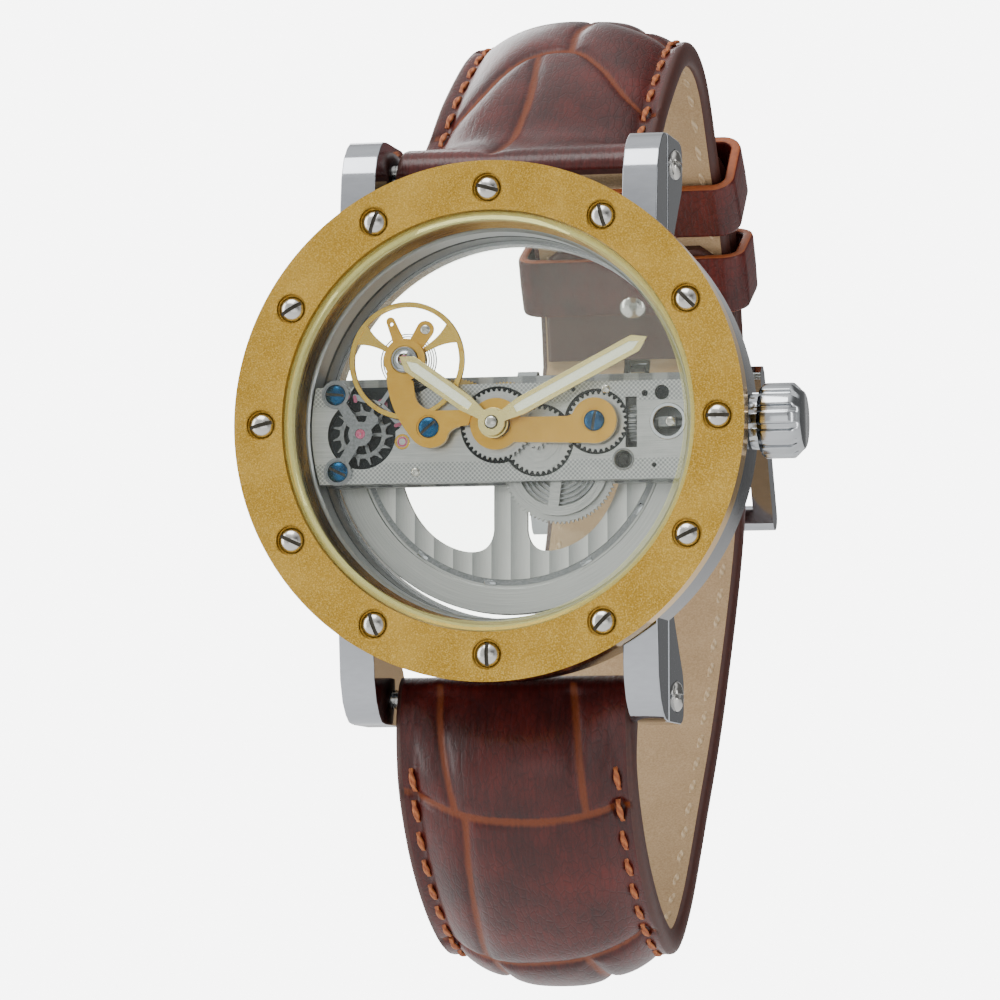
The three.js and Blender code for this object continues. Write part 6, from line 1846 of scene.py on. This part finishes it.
def area_light(name, place, aim, size, power, colour=(1.0, 1.0, 1.0)):
    lamp = bpy.data.lights.new(name, "AREA")
    lamp.shape = "RECTANGLE"
    lamp.size, lamp.size_y = size
    lamp.energy = power
    lamp.color = colour
    made = bpy.data.objects.new(name, lamp)
    made.location = place
    made.rotation_euler = (Vector(aim) - Vector(place)).to_track_quat("-Z", "Y").to_euler()
    bpy.context.scene.collection.objects.link(made)


def studio_air():
    """White behind the watch; a soft grey room with a bright ceiling and front wall for reflections."""
    world = bpy.data.worlds.new("studio_air")
    world.use_nodes = True
    tree = world.node_tree
    tree.nodes.clear()

    def node(kind, settings=None, inputs=None):
        made = tree.nodes.new(kind)
        for key, value in (settings or {}).items():
            setattr(made, key, value)
        for key, given in (inputs or {}).items():
            if isinstance(given, bpy.types.NodeSocket):
                tree.links.new(given, made.inputs[key])
            else:
                made.inputs[key].default_value = given
        return made.outputs[0]

    def ramp(source, low, high, bottom, top):
        settings = {"interpolation_type": "SMOOTHSTEP"}
        inputs = {"Value": source, "From Min": low, "From Max": high, "To Min": bottom, "To Max": top}
        return node("ShaderNodeMapRange", settings, inputs)

    def total(*values):
        made = values[0]
        for value in values[1:]:
            made = node("ShaderNodeMath", {"operation": "ADD"}, {0: made, 1: value})
        return made

    facing = tree.nodes.new("ShaderNodeTexCoord").outputs["Generated"]

    def toward(direction, low, high, power):
        aim = Vector(direction).normalized()
        made = tree.nodes.new("ShaderNodeVectorMath")
        made.operation = "DOT_PRODUCT"
        tree.links.new(facing, made.inputs[0])
        made.inputs[1].default_value = aim
        return ramp(made.outputs["Value"], low, high, 0.0, power)

    room = total(toward((-0.25, -0.95, 0.12), 0.78, 0.97, 0.62), toward((0.0, -0.2, 1.0), 0.5, 0.9, 1.1),
                 toward((-1.0, -0.3, 0.2), 0.7, 0.95, 0.9), toward((0.95, -0.4, 0.1), 0.8, 0.97, 0.5),
                 toward((-0.7, 0.9, 0.3), 0.6, 0.95, 0.8), toward((0.0, -0.2, -1.0), 0.6, 0.95, 0.4))
    room = total(room, ROOM_SHADE)
    seen = tree.nodes.new("ShaderNodeLightPath").outputs["Is Camera Ray"]
    strength = node("ShaderNodeMix", {"data_type": "FLOAT"}, {0: seen, 2: room, 3: BACKDROP})
    shader = node("ShaderNodeBackground", None, {"Color": (1.0, 1.0, 1.0, 1.0), "Strength": strength})
    tree.links.new(shader, tree.nodes.new("ShaderNodeOutputWorld").inputs["Surface"])
    bpy.context.scene.world = world


def stage():
    studio_air()
    floor = bpy.data.materials.new("floor_paint")
    floor.use_nodes = True
    shader = floor.node_tree.nodes["Principled BSDF"]
    shader.inputs["Base Color"].default_value = (0.86, 0.86, 0.86, 1.0)
    shader.inputs["Roughness"].default_value = 0.7
    mesh = bpy.data.meshes.new("floor")
    reach, level = 1.6, -0.12
    mesh.from_pydata([(-reach, -reach, level), (reach, -reach, level), (reach, reach, level),
                      (-reach, reach, level)],
                     [], [(0, 1, 2, 3)])
    mesh.materials.append(floor)
    made = bpy.data.objects.new("floor", mesh)
    bpy.context.scene.collection.objects.link(made)
    centre = (0.0, 0.005, 0.0)
    area_light("overhead_softbox", (-0.12, -0.25, 0.42), centre, (0.35, 0.25), 1.7)
    area_light("left_softbox", (-0.45, -0.2, 0.08), centre, (0.16, 0.5), 1.1)
    area_light("right_strip", (0.42, -0.12, 0.05), centre, (0.08, 0.4), 0.45)
    area_light("front_fill", (0.1, -0.6, -0.05), centre, (0.5, 0.3), 0.5)
    area_light("back_softbox", (-0.35, 0.5, 0.3), centre, (0.4, 0.3), 1.4)


def camera():
    """A long lens a little to the right of the dial and a little below it."""
    azimuth, elevation = map(math.radians, (13.22, -5.63))
    away, focal, size = 0.43, 5366.0, 1000.0
    back = Vector((math.sin(azimuth) * math.cos(elevation), -math.cos(azimuth) * math.cos(elevation),
                   math.sin(elevation)))
    right = Vector((math.cos(azimuth), math.sin(azimuth), 0.0))
    up = back.cross(right)
    level = Matrix((right, up, back))
    seen = Vector(((486.3 - 500.0) / focal, (500.0 - 419.9) / focal, -1.0)).normalized()
    swing = Vector((0.0, 0.0, -1.0)).rotation_difference(seen).to_matrix()
    turn = (swing @ level).transposed()
    lens = bpy.data.cameras.new("long_lens")
    lens.sensor_width = 36.0
    lens.lens = focal / size * 36.0
    lens.clip_start, lens.clip_end = 0.02, 20.0
    made = bpy.data.objects.new("camera", lens)
    place = Vector((0.0, -CASE_THICKNESS * MM, 0.0)) + back * away
    made.matrix_world = Matrix.Translation(place) @ turn.to_4x4()
    bpy.context.scene.collection.objects.link(made)
    bpy.context.scene.camera = made


stage()
camera()
